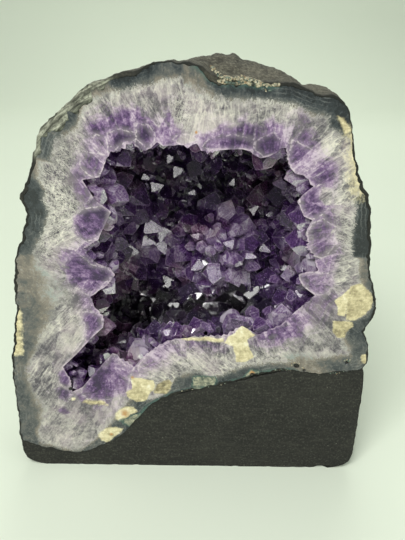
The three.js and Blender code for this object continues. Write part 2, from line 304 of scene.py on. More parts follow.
def giveFacetShade(piece, seed):
    # A random value for each flat direction: faces with the same rounded normal share it. The material
    # darkens or lightens each face by it, a painted shade by the face's direction.
    count = len(piece.data.polygons)
    normal, sides = np.zeros(count * 3, np.float32), np.zeros(count, np.int32)
    piece.data.polygons.foreach_get("normal", normal)
    piece.data.polygons.foreach_get("loop_total", sides)
    key = (np.round(normal.reshape(-1, 3) * 400).astype(np.int64) * (73, 1009, 9176)).sum(1)
    values = np.random.RandomState(seed).uniform(0, 1, 8192)[key & 8191]
    layer = piece.data.attributes.new("facetShade", "FLOAT", "CORNER")
    layer.data.foreach_set("value", np.repeat(values, sides).astype(np.float32))


# Nodes: short helpers, so that each material reads as a list of steps. They work in the tree of
# the material begun last.
def newMaterial(name):
    # An empty material, whose tree the helpers work in from here on.
    global tree
    material = bpy.data.materials.new(name)
    material.use_nodes = True
    tree = material.node_tree
    tree.nodes.clear()
    return material


def add(kind, inputs=None, **settings):
    # A node with its settings; an input is linked if it is a socket and set if it is a value.
    node = tree.nodes.new(kind)
    for key, value in settings.items():
        setattr(node, key, value)
    for key, value in (inputs or {}).items():
        if isinstance(value, bpy.types.NodeSocket):
            tree.links.new(value, node.inputs[key])
        else:
            node.inputs[key].default_value = value
    return node


def calc(operation, a, b=0.0, c=0.0, clamp=False):
    # The operation on a, b and c; MULTIPLY_ADD is a * b + c.
    return add("ShaderNodeMath", {0: a, 1: b, 2: c}, operation=operation, use_clamp=clamp).outputs[0]


def times(a, b, clamp=False):
    # a * b, kept between 0 and 1 if clamped.
    return calc("MULTIPLY", a, b, clamp=clamp)


def vectorMath(operation, inputs):
    # The operation on the inputs, each component by itself.
    return add("ShaderNodeVectorMath", inputs, operation=operation).outputs[0]


def summed(start, *terms):
    # start plus the sum of (socket - middle) * share, where a term gives socket, share, middle.
    total = start
    for socket, share, *middle in terms:
        shift = -share * middle[0] if middle else 0.0
        total = calc("ADD", total, calc("MULTIPLY_ADD", socket, share, shift))
    return total


def between(value, low, high, outLow=0.0, outHigh=1.0):
    # From outLow to outHigh as the value goes from low to high, smoothly, and level outside.
    inputs = {"Value": value, "From Min": low, "From Max": high, "To Min": outLow, "To Max": outHigh}
    return add("ShaderNodeMapRange", inputs, interpolation_type="SMOOTHSTEP").outputs["Result"]


def tint(colour):
    # An sRGB colour, 0 to 255, as the linear values and opacity that nodes take.
    return *(c / 255 / 12.92 if c <= 10 else ((c / 255 + 0.055) / 1.055) ** 2.4 for c in colour), 1


def blendColour(factor, a, b):
    # From a to b as the factor goes from 0 to 1; each is a socket or an sRGB colour.
    a, b = (tint(c) if isinstance(c, tuple) else c for c in (a, b))
    return add("ShaderNodeMix", {0: factor, 6: a, 7: b}, data_type="RGBA").outputs[2]


def coated(colour, paints, **masks):
    # Each mask in turn lays the paint of its name over the colour.
    for name, mask in masks.items():
        colour = blendColour(mask, colour, paints[name])
    return colour


def colourRamp(factor, *stops):
    # Each stop is its place and its sRGB colour.
    node = add("ShaderNodeValToRGB", {"Fac": factor})
    ramp = node.color_ramp
    while len(ramp.elements) < len(stops):
        ramp.elements.new(1)
    for element, (place, *colour) in zip(ramp.elements, stops):
        element.position = place
        element.color = tint(colour)
    return node.outputs["Color"]


def cloudNoise(vector, scale, detail=4.0, roughness=0.55, distortion=0.0, output="Fac"):
    # Layered noise, about 0.5 in the middle.
    inputs = {"Vector": vector, "Scale": scale, "Detail": detail, "Roughness": roughness,
              "Distortion": distortion}
    return add("ShaderNodeTexNoise", inputs).outputs[output]


def filaments(vector, scale, wide, detail=2.0, distortion=1.0):
    # Thin curling threads: 1 where a noise crosses its middle, 0 further than `wide` from it.
    away = calc("SUBTRACT", cloudNoise(vector, scale, detail, 0.5, distortion), 0.5)
    return between(calc("ABSOLUTE", away), wide, wide * 0.25)


def cellNoise(vector, scale, **settings):
    # Cells round random points: the distance to the nearest one and the cell's own colour.
    return add("ShaderNodeTexVoronoi", {"Vector": vector, "Scale": scale}, **settings).outputs


def firstChannel(colour):
    # A colour's red, which serves as one random value for each cell.
    return add("ShaderNodeSeparateColor", {"Color": colour}).outputs[0]


def field(name):
    # A value that giveValue put on the points.
    return add("ShaderNodeAttribute", attribute_name=name).outputs["Fac"]


def objectPlace():
    # The place in the object's own space, in metres.
    return add("ShaderNodeTexCoord").outputs["Object"]


def growthPlace():
    # The place across and along the growth, in mm, from the UV map.
    return add("ShaderNodeUVMap", uv_map="growth").outputs["UV"]


def mapped(vector, scale, turn=0.0):
    # The place turned by `turn` about Y and scaled.
    inputs = {"Vector": vector, "Scale": scale, "Rotation": (0, turn, 0)}
    return add("ShaderNodeMapping", inputs).outputs[0]


def warped(vector, scale, amount, detail=3.0):
    # The place moved by up to `amount` by a noise.
    noise = cloudNoise(vector, scale, detail, output="Color")
    centred = vectorMath("SUBTRACT", {0: noise, 1: (0.5, 0.5, 0.5)})
    return vectorMath("ADD", {0: vector, 1: vectorMath("SCALE", {0: centred, "Scale": amount * 2})})


def finishMaterial(colour, roughness, bump=None, bumpStrength=0.3, bumpReach=0.0003, **constants):
    # The shader, with a bump of its height if one is given, joined to the output.
    shader = add("ShaderNodeBsdfPrincipled", {"Base Color": colour, "Roughness": roughness})
    for name, value in constants.items():
        shader.inputs[name.replace("_", " ")].default_value = value
    if bump is not None:
        normal = add("ShaderNodeBump", {"Height": bump, "Strength": bumpStrength, "Distance": bumpReach})
        tree.links.new(normal.outputs[0], shader.inputs["Normal"])
    add("ShaderNodeOutputMaterial", {"Surface": shader.outputs[0]})


# The colours of each material are sRGB, 0 to 255; a ramp is a row of places, each with its colour.
rindColours = {
    "stone": ((0.3, 51, 49, 41), (0.48, 70, 68, 58), (0.62, 89, 86, 73), (0.75, 81, 75, 62)),
    "grain": (118, 115, 101), "darkGrain": (50, 48, 41), "fine": (150, 147, 130),
    # on the next line, the last two colours are painted shade: in the pits, and along the edge beside the
    # plate and inside the hollow
    "speck": (168, 166, 150), "pit": (42, 40, 34), "lip": (32, 33, 29),
    "chip": ((0.34, 46, 47, 40), (0.45, 96, 98, 86), (0.56, 146, 148, 132), (0.7, 186, 188, 170)),
    "darkChip": (52, 52, 45),
    "crust": ((0.38, 44, 48, 42), (0.45, 96, 106, 92), (0.51, 140, 132, 108), (0.58, 196, 188, 162),
              (0.66, 132, 110, 80)),
}


def rindMaterial():
    # Dark basalt: cloudy stone with pale grain and specks, with painted shade in the pits, along the edge
    # beside the plate and inside the hollow.
    material = newMaterial("basaltRind")
    place = objectPlace()
    broad = cloudNoise(place, 38, 5, 0.6)
    grain = cloudNoise(place, 900, 4, 0.7)
    fine = cloudNoise(place, 2100, 3, 0.6)
    speck = cellNoise(place, 520.0)["Distance"]
    colour = colourRamp(broad, *rindColours["stone"])
    colour = coated(
        colour, rindColours, grain=between(grain, 0.46, 0.66, 0, 0.7),
        darkGrain=times(between(grain, 0.55, 0.35), 0.7), fine=between(fine, 0.6, 0.75, 0, 0.4),
        # painted shade in the pits, along the edge beside the plate and inside the hollow
        speck=times(between(speck, 0.16, 0.05), 0.5), pit=times(field("pit"), 0.75), lip=field("lip"),
    )
    # the chipped edge: pale streaks that run along it
    streak = cloudNoise(mapped(growthPlace(), (0.16, 0.75, 1)), 1.0, 4, 0.65, 0.6)
    chipColour = colourRamp(streak, *rindColours["chip"])
    chipColour = blendColour(between(grain, 0.5, 0.35, 0, 0.6), chipColour, rindColours["darkChip"])
    colour = blendColour(between(field("chip"), 0.25, 0.75), colour, chipColour)
    # the crust in the crevice at the top
    crustNoise = cloudNoise(warped(place, 500, 0.001), 420, 4, 0.65)
    crustColour = colourRamp(crustNoise, *rindColours["crust"])
    inCrust = summed(0, (field("crusted"), 1.2), (crustNoise, 1.6, 0.5))
    colour = blendColour(between(inCrust, 0.6, 0.9), colour, crustColour)
    bump = calc("ADD", grain, times(speck, 0.5))
    finishMaterial(colour, 0.9, bump, 0.6, 0.0007)
    return material


# The rim of the cut round the hollow, with the larger crystals' tips, clockwise from the low
# left corner: x, z, mm.
rimTrace = np.array([
    [-51.7, 41.6], [-52.1, 48], [-54.6, 54.8], [-51, 58.6], [-47.1, 62.7], [-43, 67.6], [-40.3, 70.6],
    [-36, 74.9], [-35.4, 78.6], [-37.6, 82.8], [-39.6, 85.1], [-40.6, 89.3], [-37.1, 92.1], [-33.7, 94.5],
    [-29.8, 99.5], [-31.6, 102.6], [-36.4, 104.3], [-39.4, 106.4], [-41.9, 111.2], [-35.7, 115.1],
    [-30, 126.4], [-35.9, 131.1], [-40.3, 139], [-33.5, 140.2], [-30.4, 147.9], [-28.9, 150.3],
    [-26.7, 150.4], [-24.6, 151.6], [-22.2, 153.6], [-21, 153.6], [-18.5, 151.4], [-16, 150.6],
    [-13.9, 151.6], [-11.7, 153.8], [-9.4, 152.2], [-6, 152.8], [-3.9, 153.4], [-0.3, 152.2], [2.8, 153.6],
    [4.4, 151.4], [6.9, 150.6], [10.4, 150.9], [14.7, 151.4], [19.7, 151.6], [22.6, 150.9], [24.4, 149.3],
    [26.9, 148.3], [29.7, 149], [32.6, 150.4], [34.4, 152.6], [36, 152.2], [37, 148], [37.9, 145.1],
    [40, 142.6], [44, 141.9], [47.5, 137.8], [44.3, 135], [42, 132.2], [42.9, 129.3], [44.6, 125.7],
    [48, 124.2], [46.4, 120.7], [46.4, 117.9], [47.6, 115], [47.1, 112.9], [50.2, 109.6], [51, 106],
    [52.6, 102.3], [47.9, 101.9], [44.6, 100.9], [45.2, 98.4], [47, 95.6], [49.3, 93.6], [52, 91.6],
    [49.5, 88.4], [45.2, 84.6], [38.6, 76.9], [29.6, 72.3], [22.6, 76.6], [16, 71.6], [5, 70.9],
    [-5.6, 69.8], [-12.1, 66.7], [-18.7, 61.1], [-23.6, 55.3], [-32.9, 61.8], [-41.2, 51.6], [-47.1, 43.9],
])
rim = {
    "toothWidth": 3.1, "toothHeight": 1.0,
    # the crystals that meet the cut: spacing, tilt in degrees, radius, length, and how far the rim
    # is smoothed on each side
    "zoneSpacing": 6.5, "zoneTilt": 16, "zoneRadius": 6, "zoneLength": 50, "zoneSmooth": 7, "seed": 77,
}
plate = {
    "thick": 0.5, "around": 1240, "rings": 76, "inset": 1.0, "insetNoise": 0.7,
    "chipped": (12.8, 17.6, 3.2),  # from station, to station, extra inset
    "crusted": (20.8, 24.2, 1.3), "dent": 0.42,
    "crust": ((20.6, 24.4, 2.4), (43, 50, 1.4), (47.8, 50, 1.8)),  # from, to, width
}


def cutOutline(u):
    # The cut's outline from the hollow's centre: the angle and distance of each place, the
    # distance with small notches and teeth.
    ray = edgeCurve(0, u) - hollow["centre"]
    place = stacked(ray[:, 0], 0, ray[:, 1])
    rough = rock["edgeRough"] * layeredNoise(place, rock["edgeSize"], 3, 611, 0.7)
    return angleOf(ray), lengths(ray) + rough


def plateReach(u):
    # The plate ends short of the rock's outline by a small uneven inset, larger where the edge
    # is chipped or crusted.
    angle, reach = cutOutline(u)
    place = stacked(reach * np.cos(angle), 0, reach * np.sin(angle))
    station = stationOf(u)
    uneven = layeredNoise(place, 5, 4, 71, 0.6)
    inset = plate["inset"] + plate["insetNoise"] * uneven
    for start, stop, extra in (plate["chipped"], plate["crusted"]):
        here = smooth(start, start + 1, station) * smooth(stop, stop - 1, station)
        inset += extra * here * (1 + 0.45 * uneven)
    return angle, reach - np.maximum(inset, 0.4)


def chippedShare(u):
    # 1 along the chipped part of the edge, 0 elsewhere, with smooth ends.
    start, stop, _ = plate["chipped"]
    station = stationOf(u)
    return smooth(start - 0.5, start + 0.8, station) * smooth(stop + 0.6, stop - 0.8, station)


def polar(angle, reach, y):
    # The point at an angle and distance from the hollow's centre, as x, y, z.
    cx, cz = hollow["centre"]
    return stacked(cx + reach * np.cos(angle), y, cz + reach * np.sin(angle))


def makeRind():
    # Rings from the deepest point of the hollow, out over the cut, round the skin to the back. From
    # the plate's border to the outline the edge drops by chipDrop * width * share^1.5, and the skin
    # is pushed out by grit and in by pits.
    u = np.arange(rock["around"]) / rock["around"]
    angle, border = plateReach(u)
    _, outline = cutOutline(u)
    plain = lengths(edgeCurve(0, u) - hollow["centre"])
    bowl = rock["bowlRings"]
    beside, under, below = rock["beside"], faceY + plate["thick"] + rock["behind"], faceY + rock["below"]
    rings = bowlRings(u, bowl, hollow["crust"], under)
    rings += [polar(angle, border + beside, under), polar(angle, border + beside, below)]
    # painted shade: full on the narrow side beside the plate, less inside the hollow
    lip = [0 * u + 0.6] * bowl + [0 * u + 1] * 2
    width = outline - border
    for share in np.arange(1, rock["chipRings"] + 1) / rock["chipRings"]:
        edge = polar(angle, border + beside + (width - beside) * share, below)
        drop = width * rock["chipDrop"] * share**1.5
        drop += rock["edgeDrop"] * share * (1 + latticeNoise(edge, 2.2, 5))
        rough = rock["chipRough"] * layeredNoise(edge, 2.4, 3, 19, 0.65) * smooth(1.2, 3.2, width)
        edge[:, 1] = np.maximum(below, edge[:, 1] + drop * smooth(0.6, 3, width) + rough)
        rings.append(edge)
        lip.append(np.clip(1 - 0.75 * smooth(1.2, 3, width), 0, 1))
    front = len(rings)
    q = 0.012 + 0.988 * np.linspace(0, 1, rock["rings"]) ** 1.12
    uu, qq = np.meshgrid(u, q[:-1])
    skin, away = rockPoint(uu, qq)
    skin = skin + away * ((outline - plain) * np.exp(-((qq / 0.06) ** 2)))[..., None]
    flat = skin.reshape(-1, 3)
    grit = layeredNoise(flat, rock["gritSize"], 4, 31, 0.62)
    pits = pitNoise(flat + 1.3 * layeredNoise(flat, 5, 2, 47)[:, None], rock["pitSize"], 11)
    deep = smooth(0.5, 0.12, pits)
    fade = smooth(0, 0.07, qq).ravel() * 0.9 + 0.1
    push = fade * (rock["grit"] * grit - rock["pits"] * deep * smooth(-0.2, 0.5, grit))
    skin = (flat + away.reshape(-1, 3) * push[:, None]).reshape(skin.shape)
    skin[0, :, 1] = np.maximum(skin[0, :, 1], rings[-1][:, 1] + 0.1)
    count = front + len(skin)
    backPole, _ = rockPoint(np.zeros(1), np.ones(1))
    frontPole = hollowPoint(np.zeros(1), np.ones(1), hollow["crust"])
    points = np.concatenate([*rings, *skin, frontPole, backPole])
    n = len(u)
    piece = makeMesh("geodeRind", points, [face[::-1] for face in closedTube(count, n)], rindMaterial())
    # painted shade that fades fast over the front of the skin
    shade = np.repeat(0.7 * np.linspace(1, 0, len(skin)) ** 40, n)
    chip = np.concatenate([np.zeros(bowl * n), np.tile(chippedShare(u), front - bowl),
                           (chippedShare(uu) * smooth(0.05, 0.015, qq)).ravel(), [0, 0]])
    # the painted shade of the edge and of the pits
    giveValue(piece, "lip", np.concatenate([*lip, shade, [0.6, 0]]))
    giveValue(piece, "chip", chip)
    giveValue(piece, "pit", np.concatenate([np.zeros(front * n), deep, [0, 0]]))
    crusted = np.zeros(len(points))
    for _, _, _, spread, _, *line in crumbs["lines"][:2]:
        line = np.reshape(line, (-1, 2))
        part = np.linspace(0, len(line) - 1, 160)
        line = lineAt(line, np.arange(len(line)), part)
        here = smooth(1.6 * spread + 0.6, 0.7 * spread, nearest(points, line))
        crusted = np.maximum(crusted, here * smooth(7, 3, points[:, 1] - faceY))
    giveValue(piece, "crusted", crusted)
    along = np.append(np.tile(u, count), [0, 0]) * rock["girth"]
    radial = lengths(points[:, [0, 2]] - hollow["centre"])
    giveUv(piece, stacked(along, radial))
    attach(piece, "root")
    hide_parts("geode_wall")
    print("rind made")


# Crystals with a face that turns the key light, or the small front one, to the eye: where the
# line of sight crosses the cut, x, z, then radius and stem, mm.
brightCrystals = np.array([
    [-18, 141.5, 2.6, 3], [-4.4, 144, 4.2, 2.5], [-14.3, 137, 4, 3], [-6.6, 148.5, 2.6, 2],
    [-23.2, 133, 2.2, 3], [2.4, 135.5, 2.4, 2.5], [-16.5, 121.5, 6.4, 3.5], [-9.5, 120.6, 5.2, 3],
    [-24.6, 111.4, 4.6, 3], [-17.4, 115, 4.6, 2], [-11.1, 113.4, 5.2, 2], [-22.2, 95, 3.6, 2.5],
    [-7, 94.6, 4.4, 3], [-19.2, 88.3, 1.4, 3], [-13, 87, 1.9, 3], [-13.5, 82, 2.6, 2.5],
    [-3.9, 85, 3.4, 2.5], [-12.4, 75.4, 2.6, 2.5], [27.9, 113.5, 3.8, 3.5], [41.3, 103.6, 2.2, 3.5],
    [48, 90.5, 2.6, 3], [32.9, 128, 3.8, 2.5], [38.5, 131.6, 3.6, 2.5], [34.2, 119.6, 4, 2.5],
    [23.4, 127.5, 3.2, 3], [25.4, 89, 5.6, 3], [18.7, 114, 3.4, 3.5], [22.5, 109.6, 3.4, 3],
    [4.4, 105.5, 4.2, 3], [4, 117, 2.6, 3], [15.4, 138, 2.4, 2],
])


# Crystals that stand at the hollow's edge: the tip as seen on the cut x, z, its depth behind
# the cut, the way it heads x, y, z, its radius, and how pale it is, partly painted light.
standingCrystals = np.array([
    [18, 84.6, 6, 0.06, -0.1, 1, 4.8, 1.2], [26.6, 86.2, 8, 0, 0, 1, 3.6, 0.25],
    [24.4, 81, 3, -0.1, -0.2, 1, 3, 0.8], [34.2, 86.4, 9, 0.1, 0, 1, 3.4, 0.1],
    [38.6, 87.6, 2.5, -0.1, -0.2, 1, 5.6, 1.1], [41, 94, 8, -0.5, -0.1, 1, 3.6, 0.3],
    [9.4, 78.6, 5, 0.1, -0.2, 1, 5.6, 0.4], [3, 80.2, 10, -0.1, -0.1, 1, 4.4, 0],
    [-4, 76.8, 6, 0.1, -0.1, 1, 4.8, 0.35], [-14, 79, 10, 0, -0.1, 1, 5, 0.2],
    [-8, 77.4, 8, 0.2, 0, 1, 3.8, 0.3], [-23.5, 68, 9, -0.5, -0.3, 1, 5.4, 0.75],
    [-23, 131, 7, 0.9, -0.3, -0.3, 5.2, 0.6], [-22, 144.5, 9, 0.7, -0.4, -0.6, 4.8, 0.5],
    [-27.5, 139, 6, 0.8, -0.5, -0.2, 4.4, 0.8], [-33, 134.5, 2, 1, -0.3, 0.1, 3.2, 0.9],
    [-36.5, 107.5, 2.5, 1, -0.2, 0.2, 3.4, 0.3], [-27, 119.5, 8, 1, 0, 0.1, 5.4, 0.05],
    [25, 144, 9, -0.6, 0.1, -0.9, 5.2, 0.05], [36, 140.5, 4, -1, -0.1, -0.1, 3.4, 0.6],
    [38.5, 126, 7, -1, 0, 0.2, 6, 0.4], [38, 116, 9, -1, 0.1, 0.1, 5.4, 0.35],
    [41, 99, 8, -0.9, 0, 0.3, 5, 0.15], [-13, 151.5, 6, 0.1, 0.1, -1, 4, 0.45],
    [-21, 150.5, 5, 0.3, 0, -1, 4.4, 0.4], [2.5, 150, 7, 0, 0.1, -1, 4.2, 0.3],
    [31, 147.5, 5, -0.3, 0, -1, 4.2, 0.4], [-35, 133.4, 3, 1, -0.4, 0.1, 3.4, 0.7],
    [-33.5, 137.6, 4, 0.7, -0.5, -0.4, 3.4, 0.6], [-40.5, 110.5, 2.5, 1, -0.3, 0.1, 3.6, 0.25],
    [-44, 53, 6, 0.6, -0.2, 0.4, 3.2, 0.2], [-30, 63.5, 7, -0.3, -0.2, 1, 4.2, 0.1],
])
quartz = {
    "faceSlope": 38.2,  # degrees between a point's faces and its axis
    # how far the faces stand out, as shares of the radius: least and most
    "nearFaces": (0, 0.06), "farFaces": (0.08, 0.5), "sideFaces": (-0.08, 0.1), "sides": 0.86,
    # the large and the small ones: spacing, radius, stem, tilt, seed, places tried
    "sizes": ((8.2, (4.8, 7.2), (0.0, 2.4), 0.42, 5, 4200), (4.7, (1.8, 3.3), (1.0, 4.6), 0.7, 8, 4800)),
    "bedRise": 2.8, "bedGap": 1.0, "bedJoin": 0.3, "rooted": 1.8, "standing": 15.0,
    "fanAbove": 3.4,  # crystals wider than this have lit edges on their sides too
    "smallAbove": (126, 146, 0.62),  # from this height to this, down to this share of the size
    "underRoof": 105,  # the hollow's roof keeps the key light from bright crystals above this
    "ledgeGain": 0.35,  # how much larger the crystals on the lower ledge are
    "toneShift": (31, 17),  # how far a crystal's tone shifts its pattern across and along, mm
    "shellAround": 330, "shellRings": (20, 30), "shellGap": 0.3, "behind": 0.02,
    "seed": 12,
}


# How the hollow's colour varies as it is seen on the cut, mostly painted light and shade: darker in the
# pocket below the boss and under the roof, paler on the lit boss: x, z, half-width, half-height, paleness.
hollowLightAndTones = np.array([
    [-2, 83, 32, 9, -2.5], [24, 88, 12, 7, -1.1], [5, 146, 34, 9, -0.5], [-14, 130, 14, 10, -0.35],
    [10, 133, 20, 9, -0.5], [14, 113, 13, 13, 0.58], [8, 97, 11, 6, 0.4], [34, 108, 9, 14, -0.45],
    [-16, 113, 10, 9, 0.15], [-14, 93, 14, 8, -0.7], [-42, 56, 9, 12, -0.6], [38, 93, 9, 7, 0.1],
    [-20, 65, 6, 5, 0.5],
])


def rimReach(angle):
    # The traced rim as a distance from the hollow's centre at each angle, less small teeth:
    # triangle waves along the rim, uneven in width and height.
    corners = np.vstack([rimTrace, rimTrace[:1]])
    part = np.linspace(0, 1, 80, endpoint=False)[:, None]
    dense = np.concatenate([a + (b - a) * part for a, b in zip(corners[:-1], corners[1:])])
    run = np.cumsum(lengths(np.roll(dense, -1, 0) - dense))
    ray = dense - hollow["centre"]
    at = angleOf(ray)
    place = stacked(run, 0, 0)
    wave = run / rim["toothWidth"] + 2.2 * latticeNoise(place, 8, 21)
    tooth = 1 - np.abs((wave % 1) * 2 - 1)
    height = rim["toothHeight"] * (0.4 + 0.9 * latticeNoise(place, 6, 23))
    reach = lengths(ray) - np.maximum(height, 0.1) * tooth
    order = np.argsort(at)
    return np.interp(angle, at[order], reach[order], period=2 * np.pi)


def bedPoint(u, w):
    # The surface that the crystals root in: it starts at the rim of the cut and joins the
    # hollow's lining, raised a little inwards, a quarter of the way to the back.
    edge = edgeCurve(2, u) - hollow["centre"]
    reach = lengths(edge)
    angle = angleOf(edge)
    low = rimReach(angle) + quartz["bedGap"] - reach
    high = -quartz["bedRise"]
    return hollowPoint(u, w, low + (high - low) * smooth(0, quartz["bedJoin"], w))


def bedHeading(u, w):
    # The way into the hollow: the cross product of the bed's two slopes.
    step = 0.003
    alongU = bedPoint(u + step, w) - bedPoint(u - step, w)
    alongW = bedPoint(u, np.minimum(w + step, 0.999)) - bedPoint(u, w - step)
    return unit(np.cross(alongW, alongU))


def scatter(spacing, seed, tries):
    # Random places on the bed, kept where no earlier one is nearer than the spacing.
    random = np.random.RandomState(seed)
    u, w = random.rand(tries), random.rand(tries) ** 0.8 * 0.97 + 0.015
    places = bedPoint(u, w)
    kept = []
    for i in range(tries):
        near = lengths(places[kept] - places[i]) if kept else np.array([99.0])
        if near.min() > spacing:
            kept.append(i)
    return u[kept], w[kept]


def crystalPlanes(tip, heading, spin, radius, length, uneven):
    # Six point faces that slope to the axis, six prism faces and a root, as half-spaces
    # normal . p <= reach. `uneven` moves each face out by a share of the radius.
    e1, e2 = crossAxes(heading)
    turn = spin[:, None] + np.arange(6) * np.pi / 3
    side = np.cos(turn)[..., None] * e1[:, None] + np.sin(turn)[..., None] * e2[:, None]
    slope = math.radians(quartz["faceSlope"])
    point = math.cos(slope) * side + math.sin(slope) * heading[:, None]
    normals = np.concatenate([point, side, -heading[:, None]], 1)
    r = radius[:, None]
    reach = np.concatenate([r * uneven[:, :6], r * (quartz["sides"] + uneven[:, 6:]), length[:, None]], 1)
    reach += np.einsum("nki,ni->nk", normals, tip)
    return normals, reach


def solidsFromPlanes(normals, reach):
    # Each solid is the overlap of its half-spaces: its corners are where three planes meet
    # inside all the others, and each face is the corners on one plane, sorted round it.
    trios = np.array(list(itertools.combinations(range(normals.shape[1]), 3)))
    a, b, c = (normals[:, trios[:, k]] for k in range(3))
    da, db, dc = (reach[:, trios[:, k], None] for k in range(3))
    bc = np.cross(b, c)
    volume = np.sum(a * bc, -1)
    safe = np.where(np.abs(volume) > 1e-3, volume, 1)
    corner = (da * bc + db * np.cross(c, a) + dc * np.cross(a, b)) / safe[..., None]
    slack = reach[:, None, :] - np.einsum("nti,nki->ntk", corner, normals)
    inside = (slack > -1e-4).all(-1) & (np.abs(volume) > 1e-3)
    points, faces, planes, owner = [], [], [], []
    start = 0
    for n in range(len(normals)):
        spots = corner[n][inside[n]]
        if len(spots) < 4:
            continue
        _, pick, back = np.unique(np.round(spots, 3), axis=0, return_index=True, return_inverse=True)
        spots = spots[pick]
        on = np.zeros((len(spots), normals.shape[1]), bool)
        np.logical_or.at(on, back.ravel(), np.abs(slack[n][inside[n]]) < 2e-4)
        for k in range(normals.shape[1]):
            rim = np.nonzero(on[:, k])[0]
            if len(rim) < 3:
                continue
            normal = normals[n, k]
            spoke = spots[rim] - spots[rim].mean(0)
            across = spoke[0] / (np.linalg.norm(spoke[0]) + 1e-12)
            up = np.cross(normal, across)
            order = np.argsort(np.arctan2(spoke @ up, spoke @ across))
            faces.append((rim[order] + start).tolist())
            planes.append((n, k))
        points.append(spots)
        owner.append(np.full(len(spots), n))
        start += len(spots)
    return np.concatenate(points), faces, np.array(planes), np.concatenate(owner)


def fanFaces(points, faces, planes, ranks, count):
    # Each chosen face (plane number below its crystal's rank) becomes a fan round its middle,
    # which gets the distance to its nearest edge; every corner gets 0.
    middles, gaps, fans = [], [], []
    for corners, plane, rank in zip(faces, planes, ranks):
        if plane >= rank:
            fans.append(corners)
            continue
        spots = points[corners]
        middle = spots.mean(0)
        ahead = np.roll(spots, -1, 0) - spots
        away = lengths(np.cross(spots - middle, ahead))
        gaps.append((away / (lengths(ahead) + 1e-9)).min())
        centre = count + len(middles)
        middles.append(middle)
        fans += [[a, b, centre] for a, b in zip(corners, corners[1:] + corners[:1])]
    return np.array(middles), np.array(gaps), fans


def unevenFaces(count, random):
    # Three alternate faces meet near the tip, the other three stand a little out.
    uneven = np.zeros((count, 12))
    uneven[:, 0:6:2] = random.uniform(*quartz["nearFaces"], (count, 3))
    uneven[:, 1:6:2] = random.uniform(*quartz["farFaces"], (count, 3))
    uneven[:, 6:] = random.uniform(*quartz["sideFaces"], (count, 6))
    return uneven


def eyeAndLamps():
    # Where the camera and the middles of the key light and of the small front one stand, mm.
    spots = [np.array(view["place"])]
    for name in ("key", "glint"):
        way = unit(np.array(lights[name + "From"]))
        spots.append(np.array(lights["aim"]) + way * lights[name + "Away"] / mm)
    return spots


def aimHalfway(points, eye, lamp):
    # The normal that turns the lamp's light to the eye: halfway between the two directions.
    return unit(unit(eye - points) + unit(lamp - points))


def leanTo(normal, face, random):
    # The axis nearest to the wall's normal whose first point face looks along `face`, and the
    # spin about that axis that brings the face there.
    aside = normal - face * np.sum(normal * face, 1, keepdims=True)
    aside += 0.25 * random.uniform(-1, 1, aside.shape)
    aside -= face * np.sum(aside * face, 1, keepdims=True)
    slope = math.radians(quartz["faceSlope"])
    axis = face * math.sin(slope) + unit(aside) * math.cos(slope)
    e1, e2 = crossAxes(axis)
    return axis, np.arctan2(np.sum(face * e2, 1), np.sum(face * e1, 1))


def crossAxes(axis):
    # Two directions square to the axis and to each other.
    helper = np.where(np.abs(axis[:, 2:3]) < 0.9, [[0.0, 0, 1]], [[1.0, 0, 0]])
    e1 = unit(np.cross(helper, axis))
    return e1, np.cross(axis, e1)


def seenAt(x, z, eye):
    # The place on the bed that the eye sees through each point x, z of the cut: the grid point
    # whose line to the eye crosses the cut nearest to it, and of equal ones the foremost.
    uu, ww = np.meshgrid(np.arange(500) / 500, np.linspace(0.03, 0.98, 140))
    grid = bedPoint(uu.ravel(), ww.ravel())
    share = (faceY - eye[1]) / (grid[:, 1] - eye[1])
    cross = eye + (grid - eye) * share[:, None]
    u, w = [], []
    for px, pz in zip(x, z):
        gap = np.hypot(cross[:, 0] - px, cross[:, 2] - pz)
        best = np.argmin(np.where(gap < gap.min() + 0.5, grid[:, 1], 1e9))
        u.append(uu.ravel()[best])
        w.append(ww.ravel()[best])
    return np.array(u), np.array(w)


def palenessAndLight(points, w, eye):
    # Paler near the cut and close behind the rim, where more light reaches, changed by the table of the
    # hollow's light and tones where the line of sight to each point crosses the cut: partly the crystals'
    # own paleness, mostly painted light and shade.
    seen = eye + (points - eye) * ((faceY - eye[1]) / (points[:, 1] - eye[1]))[:, None]
    paleAndLit = 0.2 + 0.35 * smooth(0.34, 0.04, w)
    for x, z, wide, high, change in hollowLightAndTones:
        paleAndLit += change * np.exp(-(((seen[:, 0] - x) / wide) ** 2) - ((seen[:, 2] - z) / high) ** 2)
    ray = seen[:, ::2] - hollow["centre"]
    fromRim = rimReach(angleOf(ray)) - lengths(ray)
    return paleAndLit + 0.28 * smooth(8, 1.5, fromRim) * smooth(148, 138, seen[:, 2]) * smooth(0.4, 0.1, w)


